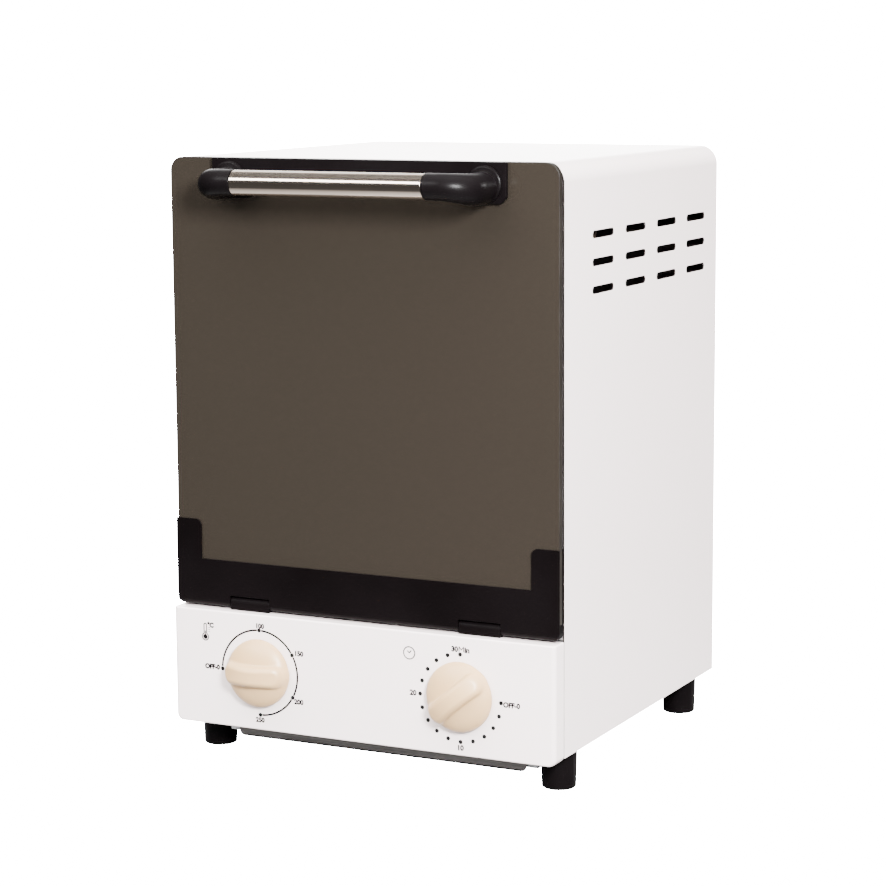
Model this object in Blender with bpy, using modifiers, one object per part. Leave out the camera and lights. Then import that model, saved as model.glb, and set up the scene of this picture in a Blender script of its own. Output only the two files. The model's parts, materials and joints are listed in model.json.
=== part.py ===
"""Countertop dry heat sterilizer with a drop-down glass door and two dials.

Metres, +Z up. The front faces -Y, the feet stand on z = 0, and x = 0 and
y = 0 lie in the middle of the overall width and depth.
"""
import math

import bmesh
import bpy
from mathutils import Matrix, Vector

# Clearances
GAP = 0.0003              # between pieces that touch on the real object
OVERRUN = 0.004           # how far a cutter passes beyond the wall that it cuts
MERGE = 0.00001           # points closer than this become one
AXIS_MARK = 0.02          # drawn size of the empties on the joint axes

# Sheet metal case
CASE_WIDTH = 0.2385
CASE_DEPTH = 0.2245
CASE_HEIGHT = 0.320
CASE_WALL = 0.0010
CASE_CORNER = 0.011
CORNER_STEPS = 6
SHEET = 0.0010            # rear panel, base, frame, shield and tray guides

# Vent slots
SLOT_LENGTH = 0.027
SLOT_HEIGHT = 0.0035
SLOT_PITCH = 0.046
SLOT_ROUND_SHARE = 0.49   # corner radius as a share of the slot's height
SLOT_STEPS = 3
SLOT_ROW_PITCH = 0.015
SLOT_ROWS = 3
SLOT_FRONT = 0.0377       # case edge to the first slot
SLOT_REAR = 0.0215        # least distance from the last slot to the case's rear
SLOT_TOP_DROP = 0.0403    # case top to the upper row
REAR_SLOT_SIDE = 0.0139   # least distance from a slot to the gland and to the side
REAR_SLOT_ROWS = 3
REAR_SLOT_RISE = 0.030    # rear panel's foot to its lowest row

# Feet
FOOT_HEIGHT = 0.0212
FOOT_TOP_RADIUS = 0.0100
FOOT_BOTTOM_RADIUS = 0.0095
FOOT_EDGE = 0.0010
FOOT_RECESS_RADIUS = 0.0040
FOOT_RECESS_DEPTH = 0.012
FOOT_SIDE_INSET = 0.0112  # case side to the foot's centre
FOOT_FRONT_INSET = 0.018
FOOT_REAR_INSET = 0.0275

# Control panel
PANEL_HEIGHT = 0.0646  # case bottom to the ledge under the door
PANEL_DROP = 0.0019  # panel below the case bottom
PANEL_REACH = 0.0123      # panel front ahead of the case edge
PANEL_WALL = 0.0012
PANEL_BEND = 0.0015
DIAL_INSET = 0.05625      # case side to the dial's centre
DIAL_HEIGHT = 0.0314  # case bottom to the dial centres
BRACKET_SET_BACK = 0.010  # case edge to the control bracket
BRACKET_SIDE = 0.006      # case inside to the bracket's end

# Knobs and shafts
SHAFT_RADIUS = 0.0030
SHAFT_BITE = 0.010        # shaft inside the knob and inside the switch
KNOB_RADIUS = 0.0197
KNOB_SKIRT = 0.0010
KNOB_DOME = 0.0080
KNOB_GRIP_HEIGHT = 0.0135  # crest of the grip over the axis
KNOB_GRIP_WIDTH = 0.0140  # at the pointer's foot
KNOB_GRIP_TAIL_WIDTH = 0.0122
KNOB_GRIP_ROUND = 0.0030
KNOB_GRIP_NOSE = 0.006    # length of the grip's round ends
KNOB_GRIP_DRAFT = 0.12    # how far the grip's sides lean in, per height
KNOB_POINTER = 0.0202     # axis to the pointer's tip
KNOB_POINTER_FALL = 0.0068  # crest to the pointer's tip
KNOB_TAIL_FALL = 0.0078   # crest to the tail's end
KNOB_GRIP_STATIONS = 10
KNOB_STANDOFF = 0.0008
TIMER_REST_ANGLE = math.radians(-40)

# Switches behind the panel
THERMOSTAT_SIZE = (0.042, 0.026, 0.034)
TIMER_SIZE = (0.050, 0.032, 0.046)
TIMER_BELL_RADIUS = 0.019
TIMER_BELL_HEIGHT = 0.011
TIMER_BELL_WALL = 0.0010
SWITCH_EDGE = 0.0015
TERMINAL_SIZE = (0.036, 0.018, 0.016)
TERMINAL_INSET = 0.024

# Front frame and chamber
FRAME_SET_BACK = 0.0010
CHAMBER_SIDE = 0.02325    # case side to the chamber wall
CHAMBER_TOP = 0.0207      # case top to the chamber ceiling
CHAMBER_REAR = 0.0322     # rear panel to the chamber's back
CHAMBER_RISE = 0.0127  # ledge to the chamber floor
CHAMBER_CORNER = 0.010
LINER_WALL = 0.0008
RACK_RAIL_DEPTH = 0.008
RACK_RAIL_HEIGHT = 0.007
RACK_RAIL_TIP = 0.0015
RACK_LEVEL_SHARES = (0.27, 0.49, 0.71)
RACK_LEVEL_USED = 1
SHIELD_DROP = 0.0050      # liner to the shield under it
SHIELD_RIM = 0.008
BASE_RIM = 0.010

# Heaters
HEATER_RADIUS = 0.0040
HEATER_END = 0.055        # chamber's front or back to the tube's centre
HEATER_INSET = 0.018      # chamber floor or ceiling to the tube's centre
INSULATOR_RADIUS = 0.0070
INSULATOR_FLANGE_RADIUS = 0.0095
INSULATOR_FLANGE = 0.0025
INSULATOR_LENGTH = 0.013
INSULATOR_END = 0.0030

# Wire rack and instrument tray
RACK_FRAME_RADIUS = 0.0016
RACK_WIRE_RADIUS = 0.0011
RACK_SIDE_CLEARANCE = 0.0015
RACK_FRONT_INSET = 0.006
RACK_REAR_INSET = 0.008
RACK_CORNER = 0.010
RACK_WIRE_PITCH = 0.0135
RACK_BRACE_INSET = 0.045
RACK_BRACE_DROP = 0.00165  # bar axis to brace axis, so that the wires fuse
TRAY_SIDE = 0.017         # chamber wall to the tray's rim
TRAY_END = 0.015          # rack's end to the tray's rim
TRAY_HEIGHT = 0.018
TRAY_WALL = 0.0008
TRAY_TAPER = 0.005
TRAY_RIM = 0.005
TRAY_CORNER = 0.012

# Door
GLASS_SIDE = 0.00025      # glass inside the case's side
GLASS_THICKNESS = 0.004
GLASS_REACH = 0.0059      # glass front ahead of the case edge
GLASS_CORNER = 0.0078
RAIL_WALL = 0.0011
RAIL_HEIGHT = 0.0271
RAIL_FLOOR = 0.0022
RAIL_CORNER = 0.0045
RAIL_TAB_RISE = 0.0227
RAIL_TAB_WIDTH = 0.0162
RAIL_TAB_CORNER = 0.0035
DOOR_CLEARANCE = 0.0010   # door rail over the panel's ledge

# Hinges
HINGE_INSET = 0.04725     # case side to the knuckle's centre
KNUCKLE_WIDTH = 0.025
KNUCKLE_CLEARANCE = 0.0002
PIN_RADIUS = 0.0015
PIN_BITE = 0.006

# Handle
HANDLE_PLATE_SIDE = 0.0294 # glass side to the plate's end
HANDLE_PLATE_HEIGHT = 0.022
HANDLE_PLATE_WAIST = 0.015
HANDLE_PLATE_THICKNESS = 0.003
HANDLE_PLATE_CUT = 0.0032
HANDLE_LOBE_WIDTH = 0.021
HANDLE_LOBE_SLOPE = 0.016
HANDLE_DROP = 0.0118  # glass top to the bar's centre
HANDLE_REACH = 0.0324  # glass front to the bar's centre
HANDLE_BOSS_INSET = 0.0118 # plate's end to the boss's centre
HANDLE_BEND = 0.014
HANDLE_BOSS_RADIUS = 0.0108
HANDLE_COLLAR = 0.003
HANDLE_STEPS = 7
HANDLE_NECK_RADIUS = 0.0071  # just over the bar
HANDLE_FLARE = 0.012      # length over which the neck widens to the boss
HANDLE_FLARE_STEPS = 4
BAR_INSET = 0.0199        # boss's centre to the bar's end
BAR_RADIUS = 0.0068
BAR_WALL = 0.0008
SPIGOT_LENGTH = 0.010
SCREW_RADIUS = 0.0016
SCREW_HEAD_RADIUS = 0.0040
SCREW_HEAD = 0.0018
SCREW_CROWN_SHARE = 0.6   # flat top of the head, of its radius
SCREW_RIM_SHARE = 0.4     # straight rim of the head, of its height
SCREW_BITE = 0.008

# Crumb tray under the base
CRUMB_SIDE = 0.02795      # case side to the lip's end
CRUMB_REAR = 0.0225       # tray's back to the case's rear
CRUMB_FRONT = 0.012       # case edge to the lip
CRUMB_LIP_DROP = 0.0137  # case bottom to the lip's lower edge
CRUMB_LIP_CORNER = 0.003
CRUMB_FLOOR_DROP = 0.0095
CRUMB_TOP_DROP = 0.0022
CRUMB_SIDE_INSET = 0.0015
GUIDE_HEIGHT = 0.0114
GUIDE_LEDGE = 0.010
GUIDE_TOP = 0.0033        # width of the flange under the base
GUIDE_OUTSET = 0.0065     # lip's end to the guide's outer face

# Cord gland
GLAND_FLANGE_RADIUS = 0.0090
GLAND_FLANGE = 0.0030
GLAND_REACH = 0.0080
GLAND_NECK_RADIUS = 0.0060
GLAND_INNER_LENGTH = 0.008
GLAND_BORE_RADIUS = 0.0032
GLAND_SIDE_INSET = 0.034
GLAND_RISE = 0.024

# Sides of the turned pieces
TURN_STEPS = 28
SMALL_TURN_STEPS = 16
ROUND_STEPS = 24
DOME_STEPS = 5
BEND_STEPS = 3
BAR_SIDES = 8
SHADE_ANGLE = math.radians(35)
ALONG = 0.9               # cosine above which an edge counts as parallel to an axis

# Heights above the floor
case_bottom = FOOT_HEIGHT
case_top = case_bottom + CASE_HEIGHT
ledge = case_bottom + PANEL_HEIGHT
dial_z = case_bottom + DIAL_HEIGHT
chamber_floor = ledge + CHAMBER_RISE
chamber_ceiling = case_top - CHAMBER_TOP
chamber_height = chamber_ceiling - chamber_floor
rack_ledge = chamber_floor + chamber_height * RACK_LEVEL_SHARES[RACK_LEVEL_USED]
bar_z = case_top - HANDLE_DROP

# Places along the depth
front_reach = GLASS_REACH + HANDLE_REACH + HANDLE_NECK_RADIUS
edge_y = (front_reach - CASE_DEPTH - GLAND_REACH) / 2
rear_y = edge_y + CASE_DEPTH
panel_front = edge_y - PANEL_REACH
glass_front = edge_y - GLASS_REACH
glass_back = glass_front + GLASS_THICKNESS
frame_front = edge_y + FRAME_SET_BACK
frame_back = frame_front + SHEET
liner_front = frame_back + GAP
liner_back = rear_y - CHAMBER_REAR
chamber_depth = liner_back - liner_front
rack_depth = chamber_depth - RACK_FRONT_INSET - RACK_REAR_INSET
bracket_front = edge_y + BRACKET_SET_BACK
switch_front = bracket_front + SHEET + GAP
bar_y = glass_front - HANDLE_REACH
plate_front = glass_front - GAP - HANDLE_PLATE_THICKNESS
crumb_front = edge_y + CRUMB_FRONT
crumb_depth = CASE_DEPTH - CRUMB_FRONT - CRUMB_REAR

# Places across the width
case_half = CASE_WIDTH / 2
case_inside = case_half - CASE_WALL
sheet_half = case_inside - GAP
chamber_half = case_half - CHAMBER_SIDE
glass_half = case_half - GLASS_SIDE
plate_half = glass_half - HANDLE_PLATE_SIDE
boss_x = plate_half - HANDLE_BOSS_INSET
bar_half = boss_x - BAR_INSET
dial_x = case_half - DIAL_INSET
hinge_x = case_half - HINGE_INSET
crumb_half = case_half - CRUMB_SIDE
gland_x = GLAND_SIDE_INSET - sheet_half

# Door rail and its pivot
rail_front = glass_front - GAP - RAIL_WALL
rail_back = glass_back + GAP + RAIL_WALL
rail_radius = (rail_back - rail_front) / 2
rail_half = glass_half + GAP
rail_bottom = ledge + DOOR_CLEARANCE
rail_top = rail_bottom + RAIL_HEIGHT
pivot_y = (rail_front + rail_back) / 2
pivot_z = rail_bottom + rail_radius
glass_bottom = pivot_z + rail_radius + RAIL_FLOOR

OUTLINE_TURNS = {
    "XY": (0, 0, 0),
    "XZ": (math.pi / 2, 0, 0),
    "YZ": (math.pi / 2, 0, math.pi / 2),
}

for old in list(bpy.data.objects):
    bpy.data.objects.remove(old, do_unlink=True)

model = bpy.data.collections.new("dry_heat_sterilizer")
cutters = bpy.data.collections.new("cutters")
bpy.context.scene.collection.children.link(model)
bpy.context.scene.collection.children.link(cutters)


def make_material(name, colour, roughness, metallic=0.0):
    """A Principled material with one colour."""
    material = bpy.data.materials.new(name)
    material.use_nodes = True
    shader = material.node_tree.nodes["Principled BSDF"]
    shader.inputs["Base Color"].default_value = (*colour, 1.0)
    shader.inputs["Roughness"].default_value = roughness
    shader.inputs["Metallic"].default_value = metallic
    return material


white_paint = make_material("white_paint", (0.84, 0.81, 0.81), 0.22)
black_plastic = make_material("black_plastic", (0.012, 0.010, 0.011), 0.38)
black_paint = make_material("black_paint", (0.011, 0.010, 0.010), 0.45)
cream_plastic = make_material("cream_plastic", (0.87, 0.76, 0.64), 0.40)
dark_glass = make_material("dark_glass", (0.095, 0.075, 0.056), 0.06)
brushed_steel = make_material("brushed_steel", (0.62, 0.57, 0.53), 0.28, 1.0)
zinc_sheet = make_material("zinc_sheet", (0.50, 0.50, 0.50), 0.42, 1.0)
grey_sheet = make_material("grey_sheet", (0.22, 0.20, 0.20), 0.45, 0.6)
chrome_wire = make_material("chrome_wire", (0.72, 0.72, 0.72), 0.16, 1.0)
ceramic = make_material("ceramic", (0.80, 0.77, 0.70), 0.60)
phenolic = make_material("phenolic", (0.055, 0.040, 0.032), 0.50)


def add_object(name, mesh, material, collection=None):
    """Link a mesh as a named object with its own material."""
    obj = bpy.data.objects.new(name, mesh)
    (collection or model).objects.link(obj)
    if material is not None:
        mesh.materials.clear()
        mesh.materials.append(material)
    return obj


def finish_mesh(name, bm, material, collection=None):
    """Turn a bmesh into an object and free the bmesh."""
    mesh = bpy.data.meshes.new(name)
    bm.to_mesh(mesh)
    bm.free()
    return add_object(name, mesh, material, collection)


def smooth(obj):
    """Shade round faces smooth and keep the real edges sharp."""
    obj.data.shade_smooth()
    obj.data.set_sharp_from_angle(angle=SHADE_ANGLE)
    return obj


def add_cube(bm, low, high):
    """A box between two corners, added to a bmesh."""
    low, high = Vector(low), Vector(high)
    made = bmesh.ops.create_cube(bm, size=1.0)["verts"]
    size = Matrix.Diagonal((high - low).to_4d())
    size[3][3] = 1.0
    middle = Matrix.Translation((low + high) / 2)
    bmesh.ops.transform(bm, matrix=middle @ size, verts=made)
    return made


def block(name, low, high, material, collection=None):
    """A solid box between two corners."""
    bm = bmesh.new()
    add_cube(bm, low, high)
    return finish_mesh(name, bm, material, collection)


def add_rod(bm, start, end, radius, sides):
    """A closed cylinder between two points, added to a bmesh."""
    start, end = Vector(start), Vector(end)
    axis = end - start
    turn = Vector((0, 0, 1)).rotation_difference(axis).to_matrix().to_4x4()
    place = Matrix.Translation((start + end) / 2) @ turn
    bmesh.ops.create_cone(bm, cap_ends=True, segments=sides, radius1=radius,
                          radius2=radius, depth=axis.length, matrix=place)


def rod(name, start, end, radius, sides, material, collection=None):
    """A closed cylinder between two points."""
    bm = bmesh.new()
    add_rod(bm, start, end, radius, sides)
    return finish_mesh(name, bm, material, collection)


def open_box(name, low, high, open_side, wall, bend, material):
    """A folded sheet box with one side open, its wall inside the given size."""
    bm = bmesh.new()
    add_cube(bm, low, high)
    bm.faces.ensure_lookup_table()
    toward = Vector(open_side)
    lid = max(bm.faces, key=lambda face: face.normal.dot(toward))
    bmesh.ops.delete(bm, geom=[lid], context="FACES_ONLY")
    obj = finish_mesh(name, bm, material)
    if bend:
        bevel(obj, bend, BEND_STEPS)
    solidify(obj, wall, -1.0)
    return obj


def solidify(obj, wall, offset):
    """Give an open sheet its wall."""
    modifier = obj.modifiers.new("wall", "SOLIDIFY")
    modifier.thickness = wall
    modifier.offset = offset
    modifier.use_even_offset = True


def bevel(obj, width, segments):
    """Round the edges that are sharper than the shading angle."""
    modifier = obj.modifiers.new("round", "BEVEL")
    modifier.width = width
    modifier.segments = segments
    modifier.limit_method = "ANGLE"
    modifier.angle_limit = SHADE_ANGLE
    modifier.use_clamp_overlap = True


def boolean(obj, other, operation):
    """Cut, join or intersect a closed mesh with another."""
    modifier = obj.modifiers.new(other.name, "BOOLEAN")
    modifier.operation = operation
    modifier.solver = "EXACT"
    modifier.object = other
    other.hide_render = True
    other.display_type = "WIRE"


def arc(centre_x, centre_z, radius, start, end, steps):
    """Points along an arc, angles in degrees from +X."""
    points = []
    for step in range(steps + 1):
        angle = math.radians(start + (end - start) * step / steps)
        points.append((centre_x + radius * math.cos(angle),
                       centre_z + radius * math.sin(angle)))
    return points


def rounded_rectangle(x0, x1, z0, z1, radius, steps=CORNER_STEPS):
    """A counter-clockwise outline with four round corners."""
    return (arc(x1 - radius, z0 + radius, radius, -90, 0, steps)
            + arc(x1 - radius, z1 - radius, radius, 0, 90, steps)
            + arc(x0 + radius, z1 - radius, radius, 90, 180, steps)
            + arc(x0 + radius, z0 + radius, radius, 180, 270, steps))


def quarter_angles():
    """Angles from the pole of a dome down to its rim."""
    return [math.pi / 2 * i / DOME_STEPS for i in range(DOME_STEPS + 1)]


def circle(centre_x, centre_z, radius, steps=ROUND_STEPS):
    """A closed round outline."""
    return arc(centre_x, centre_z, radius, 0, 360, steps)[:-1]


def mesh_from_curve(curve_object, name, material, collection=None):
    """Replace a curve object by the closed mesh that it makes."""
    bpy.context.view_layer.update()
    depsgraph = bpy.context.evaluated_depsgraph_get()
    mesh = bpy.data.meshes.new_from_object(curve_object.evaluated_get(depsgraph))
    mesh.name = name
    bm = bmesh.new()
    bm.from_mesh(mesh)
    bmesh.ops.remove_doubles(bm, verts=bm.verts, dist=MERGE)
    bmesh.ops.recalc_face_normals(bm, faces=bm.faces)
    bm.to_mesh(mesh)
    bm.free()
    place = curve_object.matrix_world.copy()
    bpy.data.objects.remove(curve_object, do_unlink=True)
    obj = add_object(name, mesh, material, collection)
    obj.matrix_world = place
    return obj


def flat_outline(name, loops, thickness, plane, centre, material, collection=None):
    """A flat plate from an outline and its holes, square to the given plane."""
    curve = bpy.data.curves.new(name, "CURVE")
    curve.dimensions = "2D"
    curve.fill_mode = "BOTH"
    curve.extrude = thickness / 2
    for loop in loops:
        spline = curve.splines.new("POLY")
        spline.points.add(len(loop) - 1)
        for point, (u, v) in zip(spline.points, loop):
            point.co = (u, v, 0, 1)
        spline.use_cyclic_u = True
    curve_object = bpy.data.objects.new(name + "_outline", curve)
    model.objects.link(curve_object)
    curve_object.location = centre
    curve_object.rotation_euler = OUTLINE_TURNS[plane]
    return mesh_from_curve(curve_object, name, material, collection)


def wire(name, points, radii, resolution, material, cyclic=False, collection=None):
    """A round wire or tube through the points, with closed ends."""
    curve = bpy.data.curves.new(name, "CURVE")
    curve.dimensions = "3D"
    curve.bevel_depth = 1.0
    curve.bevel_resolution = resolution
    curve.use_fill_caps = True
    spline = curve.splines.new("POLY")
    spline.points.add(len(points) - 1)
    for point, place, radius in zip(spline.points, points, radii):
        point.co = (*place, 1)
        point.radius = radius
    spline.use_cyclic_u = cyclic
    curve_object = bpy.data.objects.new(name + "_path", curve)
    model.objects.link(curve_object)
    return mesh_from_curve(curve_object, name, material, collection)


def turned(name, profile, steps, material, collection=None):
    """A turned piece about its own Z axis, from radius and height pairs."""
    mesh = bpy.data.meshes.new(name)
    edges = [(i, i + 1) for i in range(len(profile) - 1)]
    mesh.from_pydata([(radius, 0, height) for radius, height in profile], edges, [])
    obj = add_object(name, mesh, material, collection)
    screw = obj.modifiers.new("turn", "SCREW")
    screw.steps = steps
    screw.render_steps = steps
    screw.use_merge_vertices = True
    screw.merge_threshold = MERGE
    screw.use_smooth_shade = True
    return obj


def lofted_pan(name, levels, wall, material):
    """A pan from outlines of equal point count, the first one its floor."""
    bm = bmesh.new()
    rings = [[bm.verts.new((x, y, z)) for x, y in outline] for outline, z in levels]
    bm.faces.new(list(reversed(rings[0])))
    for lower, upper in zip(rings, rings[1:]):
        for i in range(len(lower)):
            j = (i + 1) % len(lower)
            bm.faces.new((lower[i], lower[j], upper[j], upper[i]))
    obj = finish_mesh(name, bm, material)
    solidify(obj, wall, -1.0)
    return obj


def joint_empty(name, place):
    """An empty on a joint's axis, which carries the pieces that it moves."""
    empty = bpy.data.objects.new(name, None)
    empty.location = place
    empty.empty_display_size = AXIS_MARK
    model.objects.link(empty)
    return empty


def carry(empty, *pieces):
    """Hang pieces on an empty without moving them."""
    for piece in pieces:
        piece.parent = empty
        piece.location = piece.location - empty.location


def slot_cutter(name, centres, size, through):
    """Rounded slots as one cutter; size is length, height and depth."""
    length, height, depth = size
    axis = Vector(through)
    bm = bmesh.new()
    for centre in centres:
        across = Vector((0, length, 0)) if axis.x else Vector((length, 0, 0))
        half = (across + Vector((0, 0, height)) + axis * depth) / 2
        verts = add_cube(bm, Vector(centre) - half, Vector(centre) + half)
        edges = {edge for vert in verts for edge in vert.link_edges}
        ends = [edge for edge in edges
                if abs((edge.verts[0].co - edge.verts[1].co).normalized().dot(axis)) > ALONG]
        bmesh.ops.bevel(bm, geom=ends, offset=height * SLOT_ROUND_SHARE,
                        segments=SLOT_STEPS, profile=0.5, affect="EDGES")
    return finish_mesh(name, bm, None, cutters)


def slot_columns(room):
    """How many slots fit side by side in a length."""
    return int((room + SLOT_PITCH - SLOT_LENGTH) / SLOT_PITCH)


def slot_rows(columns, rows, first, top):
    """Centres of the slots along a wall, as distance and height pairs."""
    return [(first + SLOT_LENGTH / 2 + column * SLOT_PITCH, top - row * SLOT_ROW_PITCH)
            for row in range(rows) for column in range(columns)]


def make_outer_case():
    """One folded sheet: left side, top and right side, with vent slots."""
    section = [(case_half, case_bottom)]
    section += arc(case_half - CASE_CORNER, case_top - CASE_CORNER, CASE_CORNER,
                   0, 90, CORNER_STEPS)
    section += arc(CASE_CORNER - case_half, case_top - CASE_CORNER, CASE_CORNER,
                   90, 180, CORNER_STEPS)
    section += [(-case_half, case_bottom)]
    bm = bmesh.new()
    verts = [bm.verts.new((x, edge_y, z)) for x, z in section]
    edges = [bm.edges.new(pair) for pair in zip(verts, verts[1:])]
    swept = bmesh.ops.extrude_edge_only(bm, edges=edges)["geom"]
    moved = [item for item in swept if isinstance(item, bmesh.types.BMVert)]
    bmesh.ops.translate(bm, verts=moved, vec=(0, CASE_DEPTH, 0))
    top = max(bm.faces, key=lambda face: face.calc_center_median().z)
    bm.normal_update()
    if top.normal.z < 0:
        bmesh.ops.reverse_faces(bm, faces=bm.faces)
    case = finish_mesh("outer_case", bm, white_paint)
    solidify(case, CASE_WALL, -1.0)
    top_row = case_top - SLOT_TOP_DROP
    columns = slot_columns(CASE_DEPTH - SLOT_FRONT - SLOT_REAR)
    for side in (-1, 1):
        centres = [(side * case_half, edge_y + along, z) for along, z in
                   slot_rows(columns, SLOT_ROWS, SLOT_FRONT, top_row)]
        size = (SLOT_LENGTH, SLOT_HEIGHT, 2 * (CASE_WALL + OVERRUN))
        cutter = slot_cutter(f"case_slots_{side}", centres, size, (1, 0, 0))
        boolean(case, cutter, "DIFFERENCE")
    return case


def make_rear_panel():
    """Flat back sheet with vent slots and the hole for the cord gland."""
    low = case_bottom
    high = case_top - CASE_WALL - GAP
    corner = CASE_CORNER - CASE_WALL - GAP
    outer = ([(-sheet_half, low), (sheet_half, low)]
             + arc(sheet_half - corner, high - corner, corner, 0, 90, CORNER_STEPS)
             + arc(corner - sheet_half, high - corner, corner, 90, 180, CORNER_STEPS))
    left = gland_x + GLAND_FLANGE_RADIUS + REAR_SLOT_SIDE
    right = sheet_half - REAR_SLOT_SIDE
    columns = slot_columns(right - left)
    row_length = (columns - 1) * SLOT_PITCH + SLOT_LENGTH
    first = (left + right - row_length) / 2
    top_row = low + REAR_SLOT_RISE + (REAR_SLOT_ROWS - 1) * SLOT_ROW_PITCH
    loops = [outer, circle(gland_x, low + GLAND_RISE, GLAND_NECK_RADIUS + GAP)]
    for x, z in slot_rows(columns, REAR_SLOT_ROWS, first, top_row):
        loops.append(rounded_rectangle(x - SLOT_LENGTH / 2, x + SLOT_LENGTH / 2,
                                       z - SLOT_HEIGHT / 2, z + SLOT_HEIGHT / 2,
                                       SLOT_HEIGHT * SLOT_ROUND_SHARE, SLOT_STEPS))
    return flat_outline("rear_panel", loops, SHEET, "XZ",
                        (0, rear_y - SHEET / 2, 0), white_paint)


def make_base_plate():
    """Bottom sheet with a rim turned up on all sides."""
    return open_box("base_plate",
                    (-sheet_half, edge_y + GAP, case_bottom),
                    (sheet_half, rear_y - SHEET - GAP, case_bottom + BASE_RIM),
                    (0, 0, 1), SHEET, 0, zinc_sheet)


def make_front_frame():
    """Sheet frame round the chamber mouth, just behind the door."""
    low = ledge + GAP
    high = case_top - CASE_WALL - GAP
    corner = CASE_CORNER - CASE_WALL - GAP
    outer = ([(-sheet_half, low), (sheet_half, low)]
             + arc(sheet_half - corner, high - corner, corner, 0, 90, CORNER_STEPS)
             + arc(corner - sheet_half, high - corner, corner, 90, 180, CORNER_STEPS))
    mouth = rounded_rectangle(-chamber_half, chamber_half, chamber_floor,
                              chamber_ceiling, CHAMBER_CORNER)
    return flat_outline("front_frame", [outer, mouth], SHEET, "XZ",
                        (0, (frame_front + frame_back) / 2, 0), zinc_sheet)


def liner_side():
    """Right side of the chamber, bottom to top, with its pressed rack rails."""
    points = []
    for share in RACK_LEVEL_SHARES:
        top = chamber_floor + chamber_height * share
        inner = chamber_half - RACK_RAIL_DEPTH
        points += [(chamber_half, top - RACK_RAIL_HEIGHT), (inner, top - RACK_RAIL_TIP),
                   (inner, top), (chamber_half, top)]
    return points


def make_chamber_liner():
    """Chamber box, open to the front, with rack rails and heater holes."""
    side = liner_side()
    low, high = chamber_floor, chamber_ceiling
    inset = chamber_half - CHAMBER_CORNER
    section = (arc(inset, low + CHAMBER_CORNER, CHAMBER_CORNER, -90, 0, 4) + side
               + arc(inset, high - CHAMBER_CORNER, CHAMBER_CORNER, 0, 90, 4)
               + arc(-inset, high - CHAMBER_CORNER, CHAMBER_CORNER, 90, 180, 4)
               + [(-x, z) for x, z in reversed(side)]
               + arc(-inset, low + CHAMBER_CORNER, CHAMBER_CORNER, 180, 270, 4))
    bm = bmesh.new()
    front = [bm.verts.new((x, liner_front, z)) for x, z in section]
    back = [bm.verts.new((x, liner_back, z)) for x, z in section]
    for i in range(len(section)):
        j = (i + 1) % len(section)
        bm.faces.new((front[i], back[i], back[j], front[j]))
    bm.faces.new(list(reversed(back)))
    liner = finish_mesh("chamber_liner", bm, zinc_sheet)
    solidify(liner, LINER_WALL, 1.0)
    bm = bmesh.new()
    reach = chamber_half + LINER_WALL + OVERRUN
    for y, z in heater_places():
        add_rod(bm, (-reach, y, z), (reach, y, z), HEATER_RADIUS + GAP, SMALL_TURN_STEPS)
    boolean(liner, finish_mesh("heater_holes", bm, None, cutters), "DIFFERENCE")
    return liner


def heater_places():
    """Depth and height of the four heater tubes."""
    return [(y, z) for z in (chamber_floor + HEATER_INSET, chamber_ceiling - HEATER_INSET)
            for y in (liner_front + HEATER_END, liner_back - HEATER_END)]


def make_heaters():
    """Four sheathed tubes, each held by a ceramic insulator at either end."""
    seat = chamber_half + LINER_WALL + GAP
    reach = seat + INSULATOR_LENGTH - INSULATOR_END - GAP
    names = ("lower_front", "lower_rear", "upper_front", "upper_rear")
    bore = HEATER_RADIUS + GAP
    profile = [(0, INSULATOR_LENGTH), (INSULATOR_RADIUS, INSULATOR_LENGTH),
               (INSULATOR_RADIUS, INSULATOR_FLANGE),
               (INSULATOR_FLANGE_RADIUS, INSULATOR_FLANGE), (INSULATOR_FLANGE_RADIUS, 0),
               (bore, 0), (bore, INSULATOR_LENGTH - INSULATOR_END),
               (0, INSULATOR_LENGTH - INSULATOR_END)]
    for name, (y, z) in zip(names, heater_places()):
        tube = rod("heater_" + name, (-reach, y, z), (reach, y, z), HEATER_RADIUS,
                   SMALL_TURN_STEPS, brushed_steel)
        smooth(tube)
        for side, sign in (("left", -1), ("right", 1)):
            cap = turned(f"insulator_{name}_{side}", profile, SMALL_TURN_STEPS, ceramic)
            cap.location = (sign * seat, y, z)
            cap.rotation_euler = (0, sign * math.pi / 2, 0)


def make_floor_shield():
    """Sheet between the hot chamber and the control compartment."""
    top = chamber_floor - LINER_WALL - SHIELD_DROP
    return open_box("floor_shield",
                    (-sheet_half, frame_back + GAP, top - SHIELD_RIM),
                    (sheet_half, rear_y - SHEET - GAP, top),
                    (0, 0, -1), SHEET, 0, zinc_sheet)


def make_control_panel():
    """Folded front panel with its ledge under the door and two shaft holes."""
    panel = open_box("control_panel",
                     (-case_half, panel_front, case_bottom - PANEL_DROP),
                     (case_half, edge_y - GAP, ledge),
                     (0, 1, 0), PANEL_WALL, PANEL_BEND, white_paint)
    bm = bmesh.new()
    for x in (-dial_x, dial_x):
        add_rod(bm, (x, panel_front - OVERRUN, dial_z),
                (x, panel_front + PANEL_WALL + OVERRUN, dial_z),
                SHAFT_RADIUS + GAP, SMALL_TURN_STEPS)
    boolean(panel, finish_mesh("panel_holes", bm, None, cutters), "DIFFERENCE")
    return panel


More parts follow.
